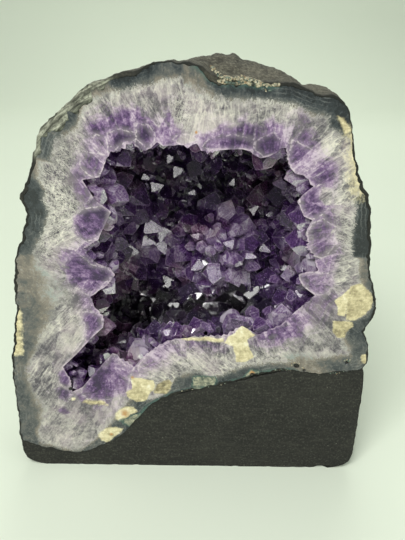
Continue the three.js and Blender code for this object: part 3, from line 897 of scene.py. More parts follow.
def growCrystals():
    # The bright crystals, then the scattered ones and those that stand at the edge, as half-spaces.
    random = np.random.RandomState(quartz["seed"])
    eye, key, glint = eyeAndLamps()
    bx, bz, bRadius, bStem = brightCrystals.T
    bu, bw = seenAt(bx, bz, eye)
    bRoot = bedPoint(bu, bw)
    halfway = aimHalfway(bRoot, eye, np.where(bz[:, None] > quartz["underRoof"], glint, key))
    bHead, bSpin = leanTo(bedHeading(bu, bw), halfway, random)
    few = len(bu)
    sets = [(bu, bw, bRadius, bStem, bHead, bSpin)]
    for spacing, radii, stems, tilt, seed, tries in quartz["sizes"]:
        u, w = scatter(spacing, seed, tries)
        root = bedPoint(u, w)
        clear = np.ones(len(u), bool)
        for n in range(few):
            clear &= lengths(root - bRoot[n]) > bRadius[n] * 1.05
        u, w, root = u[clear], w[clear], root[clear]
        heading = bedHeading(u, w) + tilt * random.uniform(-1, 1, root.shape)
        radius = random.uniform(*radii, len(u))
        # smaller at the hollow's outside, just behind the cut and towards the top, larger on the ledge
        radius *= 1 - 0.3 * smooth(34, 64, np.hypot(root[:, 0], root[:, 2] - 108))
        radius *= 1 - 0.3 * smooth(0.28, 0.08, w)
        low, high, share = quartz["smallAbove"]
        radius *= 1 - (1 - share) * smooth(low, high, root[:, 2] + 0.15 * root[:, 0])
        radius *= 1 + quartz["ledgeGain"] * smooth(88, 76, root[:, 2]) * smooth(-16, 0, root[:, 0])
        sets.append((u, w, radius, random.uniform(*stems, len(u)), heading,
                     random.uniform(0, np.pi, len(u))))
    u, w, radius, stem, heading, spin = (np.concatenate(column) for column in zip(*sets))
    heading = unit(heading)
    root = bedPoint(u, w)
    tall = stem + radius * 1.1
    tip = root + heading * tall[:, None]
    # the hollow's painted light and shade, partly the crystals' own paleness
    paleAndLit = palenessAndLight(root, w, eye)
    paleAndLit[:few] -= 0.25
    # the standing ones, each with its tip on the line of sight through its place on the cut
    sx, sz, sDepth, hx, hy, hz, sRadius, sPaleAndLit = standingCrystals.T
    spot = stacked(sx, faceY, sz)
    sTip = eye + (spot - eye) * ((faceY + sDepth - eye[1]) / (faceY - eye[1]))[:, None]
    sHead = unit(stacked(hx, hy, hz))
    tip, heading = np.concatenate([tip, sTip]), np.concatenate([heading, sHead])
    radius, paleAndLit = np.append(radius, sRadius), np.append(paleAndLit, sPaleAndLit)
    tall = np.append(tall, np.full(len(sx), quartz["standing"]))
    spin = np.append(spin, random.uniform(0, np.pi, len(sx)))
    count = len(tip)
    uneven = unevenFaces(count, random)
    uneven[:few] *= 0.25  # regular points, whose lit faces are triangles
    uneven[:few, 0] = 0
    normals, reach = crystalPlanes(tip, heading, spin, radius, tall + quartz["rooted"], uneven)
    bright = np.where(np.arange(count) < few, 1.0, 0.0)
    return {"tip": tip, "heading": heading, "radius": radius, "paleAndLit": paleAndLit, "bright": bright,
            "tone": random.uniform(0, 1, count), "normals": normals, "reach": reach}


crystals = growCrystals()
print(len(crystals["tip"]), "crystals grown")


amethystColours = {
    "violet": ((0.0, 208, 198, 214), (0.14, 150, 124, 165), (0.3, 96, 63, 120), (0.5, 54, 29, 77),
               (0.7, 29, 14, 45), (1.0, 10, 5, 17)),
    "rosy": ((0.0, 212, 198, 206), (0.14, 158, 124, 152), (0.3, 106, 64, 103), (0.5, 60, 30, 60),
             (0.7, 27, 13, 31), (1.0, 8, 4, 9)),
    # the last two colours are painted light: highlights along the edges and small glints
    "veil": (186, 176, 190), "litEdge": (186, 168, 192), "speck": (206, 200, 208),
}


def amethystMaterial():
    # Clear violet: the darkness is a sum of noises, of the crystal's own tone, of paleness, which holds
    # painted light and shade, of a painted shade towards each root and of a painted shade for each face's
    # direction.
    material = newMaterial("clearAmethyst")
    place = objectPlace()
    tone, rise, paleAndLit = field("tone"), field("rise"), field("paleAndLit")
    growth = growthPlace()
    # healed cracks, wisps and grain, in the object's space; streaks along the growth, striae across
    veil = cloudNoise(warped(place, 240, 0.002), 230, 5, 0.68)
    wisp = cloudNoise(warped(place, 500, 0.0015), 640, 4, 0.68, 0.8)
    fine = cloudNoise(place, 1500, 3, 0.65)
    lengthwise = mapped(growth, (1.9, 0.28, 1))
    # painted shade: each face's direction darkens or lightens it by a random share
    facetShade = field("facetShade")
    perFacet = vectorMath("SCALE", {0: (0, 0, 60), "Scale": facetShade})
    streak = cloudNoise(vectorMath("ADD", {0: lengthwise, 1: perFacet}), 1.0, 4, 0.65, 0.6)
    striae = cloudNoise(mapped(growth, (0.25, 2.6, 1)), 1.0, 3, 0.6)
    # painted shade: darker towards each crystal's root, where the crystals crowd
    dark = summed(0.47, (tone, 0.26), (facetShade, 0.44, 0.5), (between(rise, 0.55, 0.0, 0.0, 0.42), 1.0),
                  (paleAndLit, -0.5), (veil, -0.85, 0.5), (wisp, -0.8, 0.5), (streak, -0.75, 0.5),
                  (striae, -0.4, 0.5), (fine, -0.6, 0.5))
    deep = times(dark, 0.7)
    violet = colourRamp(deep, *amethystColours["violet"])
    rosy = colourRamp(deep, *amethystColours["rosy"])
    hue = cloudNoise(place, 45, 2, 0.5)
    colour = blendColour(between(hue, 0.52, 0.66), violet, rosy)
    # white veils inside, painted highlights along the edges and small painted glints
    healed = times(between(wisp, 0.6, 0.68), between(veil, 0.5, 0.6, 0, 0.5))
    edge = times(between(field("edgeGap"), 0.34, 0.08), between(rise, 0.25, 0.75, 0.1, 0.75))
    edge = times(edge, between(wisp, 0.4, 0.58, 0.15, 1.0))
    edge = times(edge, between(dark, 0.85, 0.35, 0.12, 0.9))
    speck = times(between(fine, 0.66, 0.72), between(rise, 0.1, 0.6, 0.1, 0.75))
    colour = coated(colour, amethystColours, veil=healed, litEdge=edge, speck=speck)
    roughness = between(veil, 0.3, 0.75, 0.03, 0.16)
    uneven = summed(0, (wisp, 0.5), (streak, 0.9), (striae, 0.4))
    uneven = times(uneven, between(field("bright"), 0, 1, 1, 0.3))
    finishMaterial(colour, roughness, uneven, 0.2, 0.0004, Transmission_Weight=0.45, IOR=1.544,
                   Specular_IOR_Level=0.165)
    return material


def makeDruse():
    # The crystals, cut off behind the plate, over a shell between the bed and the wall.
    front = faceY + plate["thick"] + quartz["behind"]
    count = len(crystals["tip"])
    cutNormal = np.tile([[[0.0, -1, 0]]], (count, 1, 1))
    normals = np.concatenate([crystals["normals"], cutNormal], 1)
    reach = np.concatenate([crystals["reach"], np.full((count, 1), -front)], 1)
    points, faces, planes, owner = solidsFromPlanes(normals, reach)
    ranks = np.where(crystals["radius"][planes[:, 0]] > quartz["fanAbove"], 12, 6)
    middles, gaps, faces = fanFaces(points, faces, planes[:, 1], ranks, len(points))
    fanned = planes[planes[:, 1] < ranks, 0]
    edgeGap = np.append(np.zeros(len(points)), gaps)
    points, owner = np.concatenate([points, middles]), np.append(owner, fanned)
    fromTip = crystals["tip"][owner] - points
    heading, radius = crystals["heading"][owner], crystals["radius"][owner]
    along = np.sum(fromTip * heading, 1)
    e1, e2 = crossAxes(heading)
    across = np.sum(fromTip * (e1 + 0.6 * e2), 1)
    rise = np.clip(1 - along / (2.2 * radius), 0, 1)
    n = quartz["shellAround"]
    u = np.arange(n) / n
    backRings, bedRings = quartz["shellRings"]
    deep = np.linspace(0.0, hollow["deepest"], bedRings)
    grow = hollow["crust"] - quartz["shellGap"]
    outer = bowlRings(u, backRings, grow, front)
    shell = np.concatenate([*outer, *(bedPoint(u, np.full(n, w)) for w in deep)])
    shell[:, 1] = np.maximum(shell[:, 1], front)
    pole = (np.zeros(1), np.ones(1))
    shell = np.concatenate([shell, hollowPoint(*pole, grow), bedPoint(*pole)])
    allFaces = faces + [face + len(points) for face in closedTube(backRings + bedRings, n)]
    piece = makeMesh("amethystDruse", np.concatenate([points, shell]), allFaces, amethystMaterial(), False)
    zero = np.zeros(len(shell))
    # the bed takes the same painted light and shade
    bedPaleAndLit = np.zeros(len(shell))
    bed = slice(backRings * n, -2)
    bedPaleAndLit[bed] = palenessAndLight(shell[bed], np.repeat(deep, n), eyeAndLamps()[0])
    for name, onCrystals, onShell in (
        ("tone", crystals["tone"][owner], zero + 0.8), ("rise", rise, zero + 0.3),
        ("paleAndLit", crystals["paleAndLit"][owner], bedPaleAndLit), ("edgeGap", edgeGap, zero + 9),
        ("bright", crystals["bright"][owner], zero),
    ):
        giveValue(piece, name, np.concatenate([onCrystals, onShell]))
    giveFacetShade(piece, 41)
    shift = crystals["tone"][owner, None] * quartz["toneShift"]
    giveUv(piece, np.concatenate([stacked(across, along) + shift, shell[:, [0, 2]]]))
    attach(piece, "root")
    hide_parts("amethyst_crystals")
    print("druse made:", len(allFaces), "faces")


def rimZones():
    # The crystals that meet the cut: their tips are the trace's corners that point into the
    # hollow, with others between them, and each heads square to the rim as smoothed.
    random = np.random.RandomState(rim["seed"])
    before, after = np.roll(rimTrace, 1, 0), np.roll(rimTrace, -1, 0)
    run = np.append(0, np.cumsum(lengths(after - rimTrace)))
    whole = run[-1]
    a, b = rimTrace - before, after - rimTrace
    turn = np.arctan2(a[:, 0] * b[:, 1] - a[:, 1] * b[:, 0], np.sum(a * b, 1))
    places = []
    for k in np.argsort(-turn):
        apart = np.abs(np.array(places) - run[k])
        if turn[k] > 0.25 and np.all(np.minimum(apart, whole - apart) > 0.7 * rim["zoneSpacing"]):
            places.append(run[k])
    places = np.sort(places)
    filled = []
    for start, stop in zip(places, np.append(places[1:], places[0] + whole)):
        count = max(1, int(round((stop - start) / rim["zoneSpacing"])))
        filled.append(start)
        filled += [start + (stop - start) * (k + random.uniform(-0.25, 0.25)) / count
                   for k in range(1, count)]
    at, wide, closed = np.array(filled), rim["zoneSmooth"], np.vstack([rimTrace, rimTrace[:1]])
    spots, behind, ahead = (lineAt(closed, run, at + shift, whole) for shift in (0, -wide, wide))
    chord = ahead - behind
    angle = np.arctan2(-chord[:, 0], chord[:, 1])
    angle += np.radians(random.uniform(-1, 1, len(at)) * rim["zoneTilt"])
    tip = stacked(spots[:, 0], faceY + random.uniform(-1, 2, len(at)), spots[:, 1])
    heading = unit(stacked(np.cos(angle), random.uniform(-0.2, 0.25, len(at)), np.sin(angle)))
    tip -= heading * random.uniform(0, 1.6, len(at))[:, None]
    count = len(at)
    spin = random.uniform(0, np.pi, count)
    radius, length = np.full((2, count), [[rim["zoneRadius"]], [rim["zoneLength"]]])
    normals, reach = crystalPlanes(tip, heading, spin, radius, length, unevenFaces(count, random))
    return {"tip": tip, "heading": heading, "normals": normals[:, :6], "reach": reach[:, :6],
            "tone": random.uniform(0, 1, count), "sides": random.uniform(0, 1, (count, 6))}


def plateSteps():
    # Places u round the plate, at even steps of the border's and the rim's length added up.
    fine = np.arange(24000) / 24000
    angle, border = plateReach(fine)
    inner = rimReach(angle)
    outside, inside = polar(angle, border, 0), polar(angle, inner, 0)
    step = sum(lengths(np.roll(line, -1, 0) - line) for line in (outside, inside))
    run = np.concatenate([[0], np.cumsum(step)])
    n = plate["around"]
    return np.interp(np.arange(n) / n * run[-1], run, np.append(fine, 1.0))


# Bands of agate at the rock's edge: station, width in mm, tone (0 dark slate, 0.4 grey, 0.8 tan,
# 1 pale blue-grey).
agateBands = np.array([
    [0, 10.5, 0.35], [0.6, 11, 0.3], [1, 9.5, 0.3], [2, 7, 0.35], [2.9, 6, 0.38], [3.3, 6.5, 0.38],
    [3.7, 9.5, 0.32], [4.3, 12, 0.3], [5, 15, 0.34], [5.4, 16, 0.38], [5.8, 16.5, 0.46], [6.2, 17, 0.5],
    [7.1, 15, 0.52], [7.6, 10, 0.66], [8, 8, 0.6], [8.3, 6.5, 0.15], [9, 7, 0.12], [10, 7.5, 0.1],
    [11, 8.5, 0.08], [11.8, 7, 0.1], [12.2, 3, 0.55], [12.9, 2.8, 0.62], [13.1, 6.5, 0.2], [14, 7, 0.15],
    [15, 7.5, 0.3], [15.6, 5, 0.5], [16.5, 5, 0.55], [17.2, 4.5, 0.5], [17.6, 5.5, 0.1], [18.8, 5.8, 0.08],
    [18.95, 5.4, 0.32], [20, 5.2, 0.34], [20.15, 7.5, 0.58], [21.2, 7, 0.58], [21.6, 6, 0.35],
    [22.2, 6, 0.17], [23.5, 5.9, 0.08], [25, 6, 0.08], [26, 5.8, 0.08], [26.8, 6.4, 0.06], [27.6, 8, 0.1],
    [28.4, 4, 0.3], [28.8, 0.8, 0.5], [31.3, 1, 0.5], [31.6, 4.8, -0.06], [32.5, 6.4, -0.1],
    [33.2, 7.2, -0.1], [34.25, 7.4, -0.05], [34.35, 4.6, 0.5], [35.3, 4.2, 0.45], [36, 1.6, 0.25],
    [36.9, 2.4, 0.16], [37.4, 4.4, 0.14], [37.7, 7.5, 0.22], [38.5, 8, 0.25], [39, 8.5, 0.3],
    [39.6, 8, 0.35], [40.5, 9, 0.28], [41.2, 8.5, 0.32], [41.9, 8, 0.75], [42.7, 7.5, 0.7], [42.9, 4.5, 0.4],
    [44, 5, 0.32], [45, 6.5, 0.3], [45.6, 5, 0.2], [46.3, 4.5, 0.1], [46.6, 9.5, 0.3], [47.8, 9, 0.32],
    [48.1, 2, 0.15], [49.5, 2.5, 0.1], [49.7, 9.5, 0.12], [50.6, 10, 0.14], [51.5, 9, 0.3], [52.3, 7, 0.42],
    [52.9, 1.6, 0.4], [54.3, 2.2, 0.45], [54.7, 8, 0.4],
])
# Larger crystals as the cut shows them: violet, pale outline, lighter or darker, then the
# corners x, z in turn.
crystalCuts = [
    (0.8, 1, 0, -30.2, 127, -32.5, 129, -40, 127.5, -45, 124, -44, 117, -41, 114, -36, 115.5,
     -32.5, 119),
    (0, 0.9, 0.25, -41, 113.8, -46, 118.5, -51, 120.5, -56, 120, -56, 112, -45, 110),
    (0.6, 0.7, 0.05, -30.3, 100, -33, 102.6, -39, 104, -41, 106.5, -46, 110, -50, 104, -49, 96, -43, 91,
     -40, 90, -36, 94, -33, 96.5),
    (0.3, 0.4, -0.1, -40, 92, -47, 94, -49, 87, -45, 83.5, -40.5, 83),
    (0.55, 0.7, 0.1, -37, 80.5, -41, 82.5, -46, 82, -43, 75, -44, 67, -48, 61.5, -43, 66, -39.5, 71.5,
     -36.5, 75),
    (0, 0.8, 0.15, -46, 82.5, -53, 83, -56, 78, -54, 68, -50, 62, -45, 68, -44, 75),
    (0.6, 0.3, -0.35, -38, 112, -42, 111, -44, 108, -40, 105, -36, 107),
    (0.85, 0.3, -0.2, -52, 55, -57, 52, -57, 46, -54, 44, -51.5, 48),
    (0.75, 0.3, -0.2, -57, 45, -60, 43, -58, 38, -54, 36, -53, 42),
    (1, 0.2, -0.4, -59.5, 31, -56, 34, -53, 30, -56, 28.5),
    (0.85, 0.4, -0.2, -50, 40, -47, 35.5, -43, 36, -45, 42),
    (0.55, 1, 0.1, -32.5, 62, -37, 58.5, -42, 53, -46.5, 46, -47.5, 41, -44, 37, -36, 38, -27, 42,
     -25.5, 50, -23.5, 55.5, -28, 60.5),
    (0, 0.8, 0, -32.5, 62, -36.5, 55.5),
    (0, 0.8, 0, -32.5, 62, -30, 57.5, -25, 54.5),
    (0.4, 0.8, 0.2, -10, 70.5, -13, 67, -17, 62, -22, 55.5, -21, 50, -15, 50.5, -10, 56, -3, 61, -3, 67,
     -6, 69),
    (0.3, 0.6, 0.2, -6, 69, 2, 71, 15, 70.5, 17, 67, 10, 63, 0, 61.5, -4, 64),
    (0.5, 0, 0, 28, 73, 31, 78, 35, 76, 45, 77, 50, 80, 48, 72, 38, 70, 30, 70),
    (0.4, 0.9, 0.1, 44.5, 99.5, 46, 101.8, 52, 102, 58, 101, 60, 97, 56, 92, 53, 91.5, 49, 94, 46, 97),
    (0.55, 0.4, -0.1, 46, 107, 48, 109.5, 53, 108, 56, 104, 52, 102.5, 46, 102.5),
    (0.4, 0.8, 0.1, 46.3, 119, 48, 122.5, 52, 124.5, 57, 122, 58, 114, 54, 108, 50, 109, 47.5, 113),
    (0.7, 1, 0, 42, 133.5, 45, 137, 50, 138.3, 55, 136, 55.5, 131, 51, 126, 48.5, 124.5, 45.5, 124.8,
     43.5, 128),
    (0.5, 0.8, 0.1, 37, 147.5, 37, 151, 38, 155, 43, 153, 49, 150, 46, 144.5, 42, 142, 39, 143.5),
    (0.6, 0.3, -0.1, 40, 141, 46, 141.5, 50, 139, 47, 137, 43, 137, 41, 139),
    (0.9, 0.5, -0.2, 24.5, 151, 24.5, 154.5, 31, 158, 34.5, 154, 36.5, 150, 33, 149.5, 28, 148.5),
    (0.9, 0.6, -0.1, 4.5, 152, 7, 155, 16, 157, 24, 155, 24, 151.5, 14, 150.8),
    (0.15, 0.8, 0.2, -6, 155, -4, 157, 1, 157, 3, 154.5, 0, 153.5, -3, 153),
    (0.55, 0.3, -0.1, -12, 155, -14, 161, -8, 160, -3, 157, -5, 153.5, -10, 152),
    (0.85, 0.8, -0.1, -19.5, 155, -19, 160, -15, 160.5, -12.5, 156.5, -13, 153, -16, 151.7),
    (0.7, 0.8, 0, -29, 152, -30, 156.5, -25, 158.5, -19.5, 157, -19.5, 155, -24, 153, -27, 151),
    (0.35, 1, 0.1, -36.5, 152.5, -34, 156, -30.5, 155, -30, 150, -31.5, 148.7, -34, 150),
    (0.4, 0.9, 0.05, -30.5, 148.5, -33, 149, -40, 150, -41, 144, -38, 141, -34, 140, -32, 143),
    (0.4, 0.2, -0.35, -44, 138, -38.5, 138, -37.5, 132, -39, 130, -45, 131),
    (0, 0.7, -0.1, -15, 170, -12, 171.5, -8, 163, -11, 159.5, -14, 162),
    (0, 0.3, -0.3, -7, 171, -2, 173, 1, 168, -2, 161, -5, 160.5, -7, 166),
    (0, 0.5, -0.25, 34, 163, 39, 165, 42, 160, 38, 153, 34.5, 156),
    (0, 0.4, -0.3, 50, 138, 55.5, 136.5, 57, 132, 53, 130, 50, 133),
]
# How the pale quartz varies over the cut: x, z, reach, lace, streaks, light.
quartzHabit = np.array([
    [-52, 128, 8, 0.8, 0.9, 0.3], [-52, 115, 7, 0.7, 1, 0.2], [-56, 104, 8, 0.45, 0.9, 0.05],
    [-55, 92, 7, 0.3, 1.1, -0.1], [-56, 82, 7, 0.1, 0.9, 0.1], [-52, 70, 8, 0, 0.3, 0.7],
    [-60, 62, 7, 0, 0.3, 0.6], [-62, 50, 7, 0, 0.7, 0.6], [-62, 40, 8, 0, 0.4, 0.5],
    [-60, 22, 9, 0.1, 0.3, 0.66], [-48, 14, 8, 0.1, 0.3, 0.68], [-40, 30, 9, 0, 0.1, 0.6],
    [-36, 42, 8, 0, 0.1, 0.7], [-50, 148, 7, 0.5, 0.1, 0.16], [-42, 157, 8, 0.4, 0.3, 0.36],
    [-30, 163, 9, 0.3, 0.5, 0.55], [-22, 170, 7, 0.2, 0.3, 0.45], [-12, 168, 7, 0.1, 0.5, 0.4],
    [-10, 174, 4, 0.1, 0.1, 0.9], [-3, 165, 5, 0.8, 0, 0.4], [5, 166, 7, 0.3, 0.4, 0.45],
    [10, 160, 6, 0.1, 0.5, 0.8], [20, 163, 8, 0.1, 0.3, 0.6], [30, 164, 7, 0.6, 0.1, 0.5],
    [38, 160, 7, 0.2, 0.2, 0.35], [45, 161, 6, 0.1, 0.2, 0.45], [50, 153, 8, 0.1, 1, 0.65],
    [52, 143, 8, 0.2, 0.9, 0.65], [58, 132, 7, 0.4, 0.6, 0.6], [55, 120, 8, 0.2, 0.7, 0.5],
    [62, 118, 6, 0.7, 0.2, 0.55], [58, 106, 7, 0.2, 0.6, 0.55], [55, 96, 7, 0.1, 0.5, 0.5],
    [53, 82, 9, 0, 0, 0.3], [44, 72, 9, 0, 0.1, 0.5], [57, 68, 8, 0.3, 0, 0.5], [37, 64, 8, 0.5, 0.1, 0.65],
    [20, 60, 8, 0.3, 0.5, 0.5], [8, 61, 9, 0.2, 0.9, 0.5], [-4, 60, 8, 0.2, 0.9, 0.42],
    [-12, 54, 6, 0.2, 0.5, 0.6], [70, 64, 7, 0.1, 0.1, 0.4], [62, 152, 6, 0.1, 0.8, 0.8],
])
# The violet band behind the rim: x, z, reach, its width in mm, strength.
violetBand = np.array([
    [-30, 153, 8, 10, 0.85], [-20, 156, 6, 9, 1], [-12, 156, 6, 9, 0.8], [-3, 155, 5, 4, 0.35],
    [4, 156, 4, 4, 0.4], [12, 154, 7, 6.5, 0.85], [24, 154, 6, 6, 0.9], [31, 154, 5, 9, 1],
    [40, 148, 7, 10, 0.65], [46, 131, 7, 9, 0.7], [48, 116, 7, 9, 0.55], [47, 104, 5, 8, 0.5],
    [50, 93, 6, 10, 0.4], [50, 83, 7, 9, 0.4], [40, 76, 8, 8, 0.55], [25, 70, 7, 6, 0.35],
    [8, 67, 8, 6, 0.35], [-8, 62, 8, 8, 0.5], [-22, 53, 6, 7, 0.45], [-34, 48, 9, 15, 0.7],
    [-50, 42, 6, 6, 0.8], [-50, 58, 6, 5, 0.35], [-44, 66, 6, 6, 0.3], [-42, 78, 6, 9, 0.6],
    [-42, 90, 5, 6, 0.35], [-42, 100, 8, 12, 0.85], [-43, 114, 5, 8, 0.55], [-40, 123, 7, 9, 0.85],
    [-42, 134, 5, 5, 0.45], [-38, 144, 6, 7, 0.55],
])
# Calcite on the cut: tone (0 bright cream, 1 olive), softness of its edge in mm, then the
# corners x, z in turn. The green-grey fillings have corners alone.
calcite = [
    (0.1, 0.3, 62, 82.5, 62, 86, 60.5, 89, 64, 93, 66, 95, 66, 88, 65.5, 82),
    (0.5, 0.5, 66, 80.5, 65.5, 88, 66, 96, 70, 97.5, 74, 94, 76.3, 90, 76, 86, 73, 82.5, 70, 80.5),
    (0.6, 0.4, 61, 79.5, 65, 79.8, 69, 79.5, 69.5, 77, 67, 74, 66, 71.5, 63.5, 71.5, 61, 74),
    (0, 0.3, 22.5, 76.5, 25.5, 74.5, 28.5, 72.3, 25.2, 69.8, 26, 66, 19, 66.5, 15.5, 68, 17, 71,
     20, 73.5),
    (0.3, 0.3, 26, 66.5, 28, 61.5, 25, 59, 21, 58.5, 20.5, 63, 19, 67),
    (0.15, 0.6, 15.5, 70.3, 8, 71, -3, 70.8, -3, 69.6, 8, 69.2, 15.5, 68.5),
    (0.15, 0.3, -25, 50, -22, 49.5, -15, 48.5, -14.5, 46, -15.5, 43, -25, 43, -25, 46),
    (0.45, 0.4, -15.5, 43.5, -17, 42, -19, 37.5, -23, 36.5, -27, 39.5, -27.5, 42, -25, 44),
    (0.95, 0.5, -15.5, 42.5, -14, 46.5, -9, 49, -7, 47, -7.5, 43.5, -10, 41.3, -15, 41.3),
    (0.1, 0.6, -31, 32, -28, 34.3, -24.5, 34, -23, 31.5, -26.5, 29.5, -30, 26, -32.8, 26.5, -33, 29.5),
    (0.15, 0.6, -41.5, 18, -38, 21.5, -33.5, 22.8, -30, 21.5, -33, 17.5, -37, 13.5, -39.5, 14.5),
    (0.3, 1.1, -76.5, 60, -75.5, 72, -74, 80, -71.5, 84, -69.5, 82.5, -70, 77, -71, 70, -71, 61),
    (0.3, 4.5, 58.5, 160, 61, 160, 63.5, 150, 64.5, 145, 68, 138, 66, 134.5, 62.5, 135, 61, 141,
     59.5, 150, 58.5, 156),
    (0.4, 0.6, 53.5, 164, 56, 163, 59.5, 159, 57, 157.5),
    (0.5, 0.5, 74.5, 63, 78, 63.5, 78, 58.5, 75, 59),
    (0.55, 0.8, -46, 37.5, -38, 37, -36, 34.5, -43, 35, -47, 36),
    (0.1, 0.3, -52.3, 38.6, -50.5, 38.8, -50.6, 37.2, -52.2, 37),
]
greenPatches = [
    [-21, 31, -25.5, 29.3, -31, 26, -29.5, 24.5, -27, 22.5, -23, 24],
    [2.5, 50.5, 7, 51.5, 12, 51, 12.5, 48, 11, 45, 4.5, 43.2, 1.8, 44],
    [24, 51.2, 27, 54.5, 31.5, 54.2, 31, 52, 26, 50.2],
]
# Amber-coloured hearts, and holes, which are painted dark as shade: x, z, radius.
amberSpots = np.array([
    [-28.5, 30.5, 2.6], [-35.5, 18, 1.2], [2.6, 157.6, 0.75], [-24.3, 50, 1.3], [28, 53, 1.6],
])
vugs = np.array([[46.9, 57.2, 1.2], [68.8, 59.2, 0.9], [-52, 43.5, 1], [50.5, 55, 0.7]])


def insideOf(place, corners):
    # Distance of each place from a closed outline of x, z: above 0 inside it, below 0 outside.
    x, z = place[:, 0], place[:, 2]
    away = np.full(len(x), 1e9)
    inside = np.zeros(len(x), bool)
    corners = np.reshape(corners, (-1, 2)).astype(float)
    for (ax, az), (bx, bz) in zip(corners, np.roll(corners, -1, 0)):
        dx, dz = bx - ax, bz - az
        t = np.clip(((x - ax) * dx + (z - az) * dz) / (dx * dx + dz * dz), 0, 1)
        away = np.minimum(away, np.hypot(x - ax - t * dx, z - az - t * dz))
        crosses = (az > z) != (bz > z)
        inside ^= crosses & (x < ax + (z - az) / (dz if dz else 1e-9) * dx)
    return np.where(inside, away, -away)


def nearest(place, line):
    # Distance of each place from the nearest point of a line of x, z.
    best = np.full(len(place), 1e9)
    for part in np.array_split(line, 40):
        gap = (place[:, 0, None] - part[:, 0]) ** 2 + (place[:, 2, None] - part[:, 1]) ** 2
        best = np.minimum(best, gap.min(1))
    return np.sqrt(best)


def blendRows(x, z, rows, share):
    # The rows' values from the fourth on, blended at each x, z: a row of x, z, reach counts as
    # exp(-(distance / (share * reach))^2).
    gap = (x[:, None] - rows[:, 0]) ** 2 + (z[:, None] - rows[:, 1]) ** 2
    weight = np.exp(-gap / (share * rows[:, 2]) ** 2) + 1e-12
    return (weight @ rows[:, 3:] / weight.sum(1, keepdims=True)).T


def faceFields(points, u, inner):
    # Everything that the face's material reads, one value at each point: distances are in mm and
    # above 0 inside an area, tones and strengths go from 0 to 1.
    x, z = points[:, 0], points[:, 2]
    place = stacked(x, faceY, z)
    wobble = stacked(layeredNoise(place, 4, 3, 401), 0, layeredNoise(place, 4, 3, 451))
    bent = place + 0.4 * wobble
    curved = place + 0.9 * stacked(latticeNoise(place, 7, 421), 0, latticeNoise(place, 7, 431))
    # the crystal at the rim that each place belongs to, the one whose faces it lies furthest behind
    zones = rimZones()
    side = np.zeros(len(x))
    first = np.full(len(x), -1e9)
    second = np.full(len(x), -1e9)
    owner = np.zeros(len(x), int)
    for n in range(len(zones["tip"])):
        planes = zones["reach"][n][:, None] - zones["normals"][n] @ curved.T
        behind = planes.min(0)
        side = np.where(behind > first, zones["sides"][n][planes.argmin(0)], side)
        second = np.maximum(second, np.minimum(behind, first))
        owner = np.where(behind > first, n, owner)
        first = np.maximum(first, behind)
    head = zones["heading"][owner]
    toTip = zones["tip"][owner] - place
    rimDepth = nearest(place, inner)
    # violet: strong at the rim, gone one and a third of the band's width behind it
    bandWide, strong = blendRows(x, z, violetBand, 1.4)
    growing = 0.45 * rimDepth + 0.55 * np.clip(first, 0, 12)
    behindRim = (growing + 1.2 * wobble[:, 0] + 2.6 * (zones["tone"][owner] - 0.5)) / bandWide
    violet = strong * smooth(1.35, 0.35, behindRim) * (0.7 + 0.5 * zones["tone"][owner])
    # the larger crystals that are cut through: their outlines, and what they do to violet and light
    lineAway, line, light = np.full(len(x), 9.0), np.zeros(len(x)), np.zeros(len(x))
    covered = np.zeros(len(x))
    for strength, outlined, lighter, *corners in crystalCuts:
        d = insideOf(bent, corners)
        lineAway, line = np.where(np.abs(d) < lineAway, [np.abs(d), outlined + 0 * d], [lineAway, line])
        here = smooth(-0.6, 0.7, d + 0.3 * wobble[:, 2])
        if strength:
            violet += (strength * (0.45 + 0.75 * smooth(1.5, 0.3, behindRim)) - violet) * here * 0.85
        elif lighter:
            violet *= 1 - 0.7 * here
        light += lighter * here
        covered = np.maximum(covered, here)
    lace, streaks, base = blendRows(x, z, quartzHabit, 1.0)
    # agate, calcite, fillings, hearts and holes: how far inside each of them a place is
    station = stationOf(u)
    wide, agateTone = (np.interp(station, agateBands[:, 0], agateBands[:, k], period=len(stations))
                       for k in (1, 2))
    edge = nearest(place, edgeCurve(0, np.arange(1400) / 1400))
    agate = wide + 0.7 + 0.8 * layeredNoise(place, 7, 3, 301) - edge
    agate += 0.24 * np.clip(wide - 8, 0, 10) * layeredNoise(place, 4, 4, 307)
    agate /= 1 + 0.3 * np.clip(wide - 8, 0, 10)  # a wide band fades out, a narrow one ends sharply
    agateTone += 0.07 * latticeNoise(place, 6, 311)
    cream, creamTone = np.full(len(x), -9.0), np.zeros(len(x))
    for tone, softness, *corners in calcite:
        d = insideOf(bent, corners) / (softness / 0.4)
        creamTone = np.where(d > np.maximum(cream, -0.6), tone, creamTone)
        cream = np.maximum(cream, d)
    green = np.max([insideOf(bent, corners) for corners in greenPatches], 0)
    amber = np.max([1 - np.hypot(bent[:, 0] - cx, bent[:, 2] - cz) / r for cx, cz, r in amberSpots], 0)
    hole = np.max([r - np.hypot(bent[:, 0] - cx, bent[:, 2] - cz) for cx, cz, r in vugs], 0)
    # the crust along parts of the edge
    crust = np.zeros(len(x))
    for start, stop, wide in plate["crust"]:
        here = smooth(start - 0.4, start + 0.4, station) * smooth(stop + 0.4, stop - 0.4, station)
        crust = np.maximum(crust, here * smooth(wide + 0.7 * wobble[:, 0] + 0.8, wide * 0.4, edge))
    tone = zones["tone"][owner]
    across = toTip[:, 2] * head[:, 0] - toTip[:, 0] * head[:, 2]
    growth = stacked(across + quartz["toneShift"][0] * tone, np.sum(toTip * head, 1))
    return growth, {
        "rimDepth": rimDepth, "seam": first - second, "violet": violet, "covered": covered,
        "lineAway": lineAway, "line": line, "light": base + light, "lace": lace, "streaks": streaks,
        "agate": agate, "agateTone": agateTone, "calcite": cream, "calciteTone": creamTone,
        "green": green, "crust": crust, "amber": amber, "hole": hole, "edge": edge, "tone": tone,
        "side": side, "growing": growing,
    }


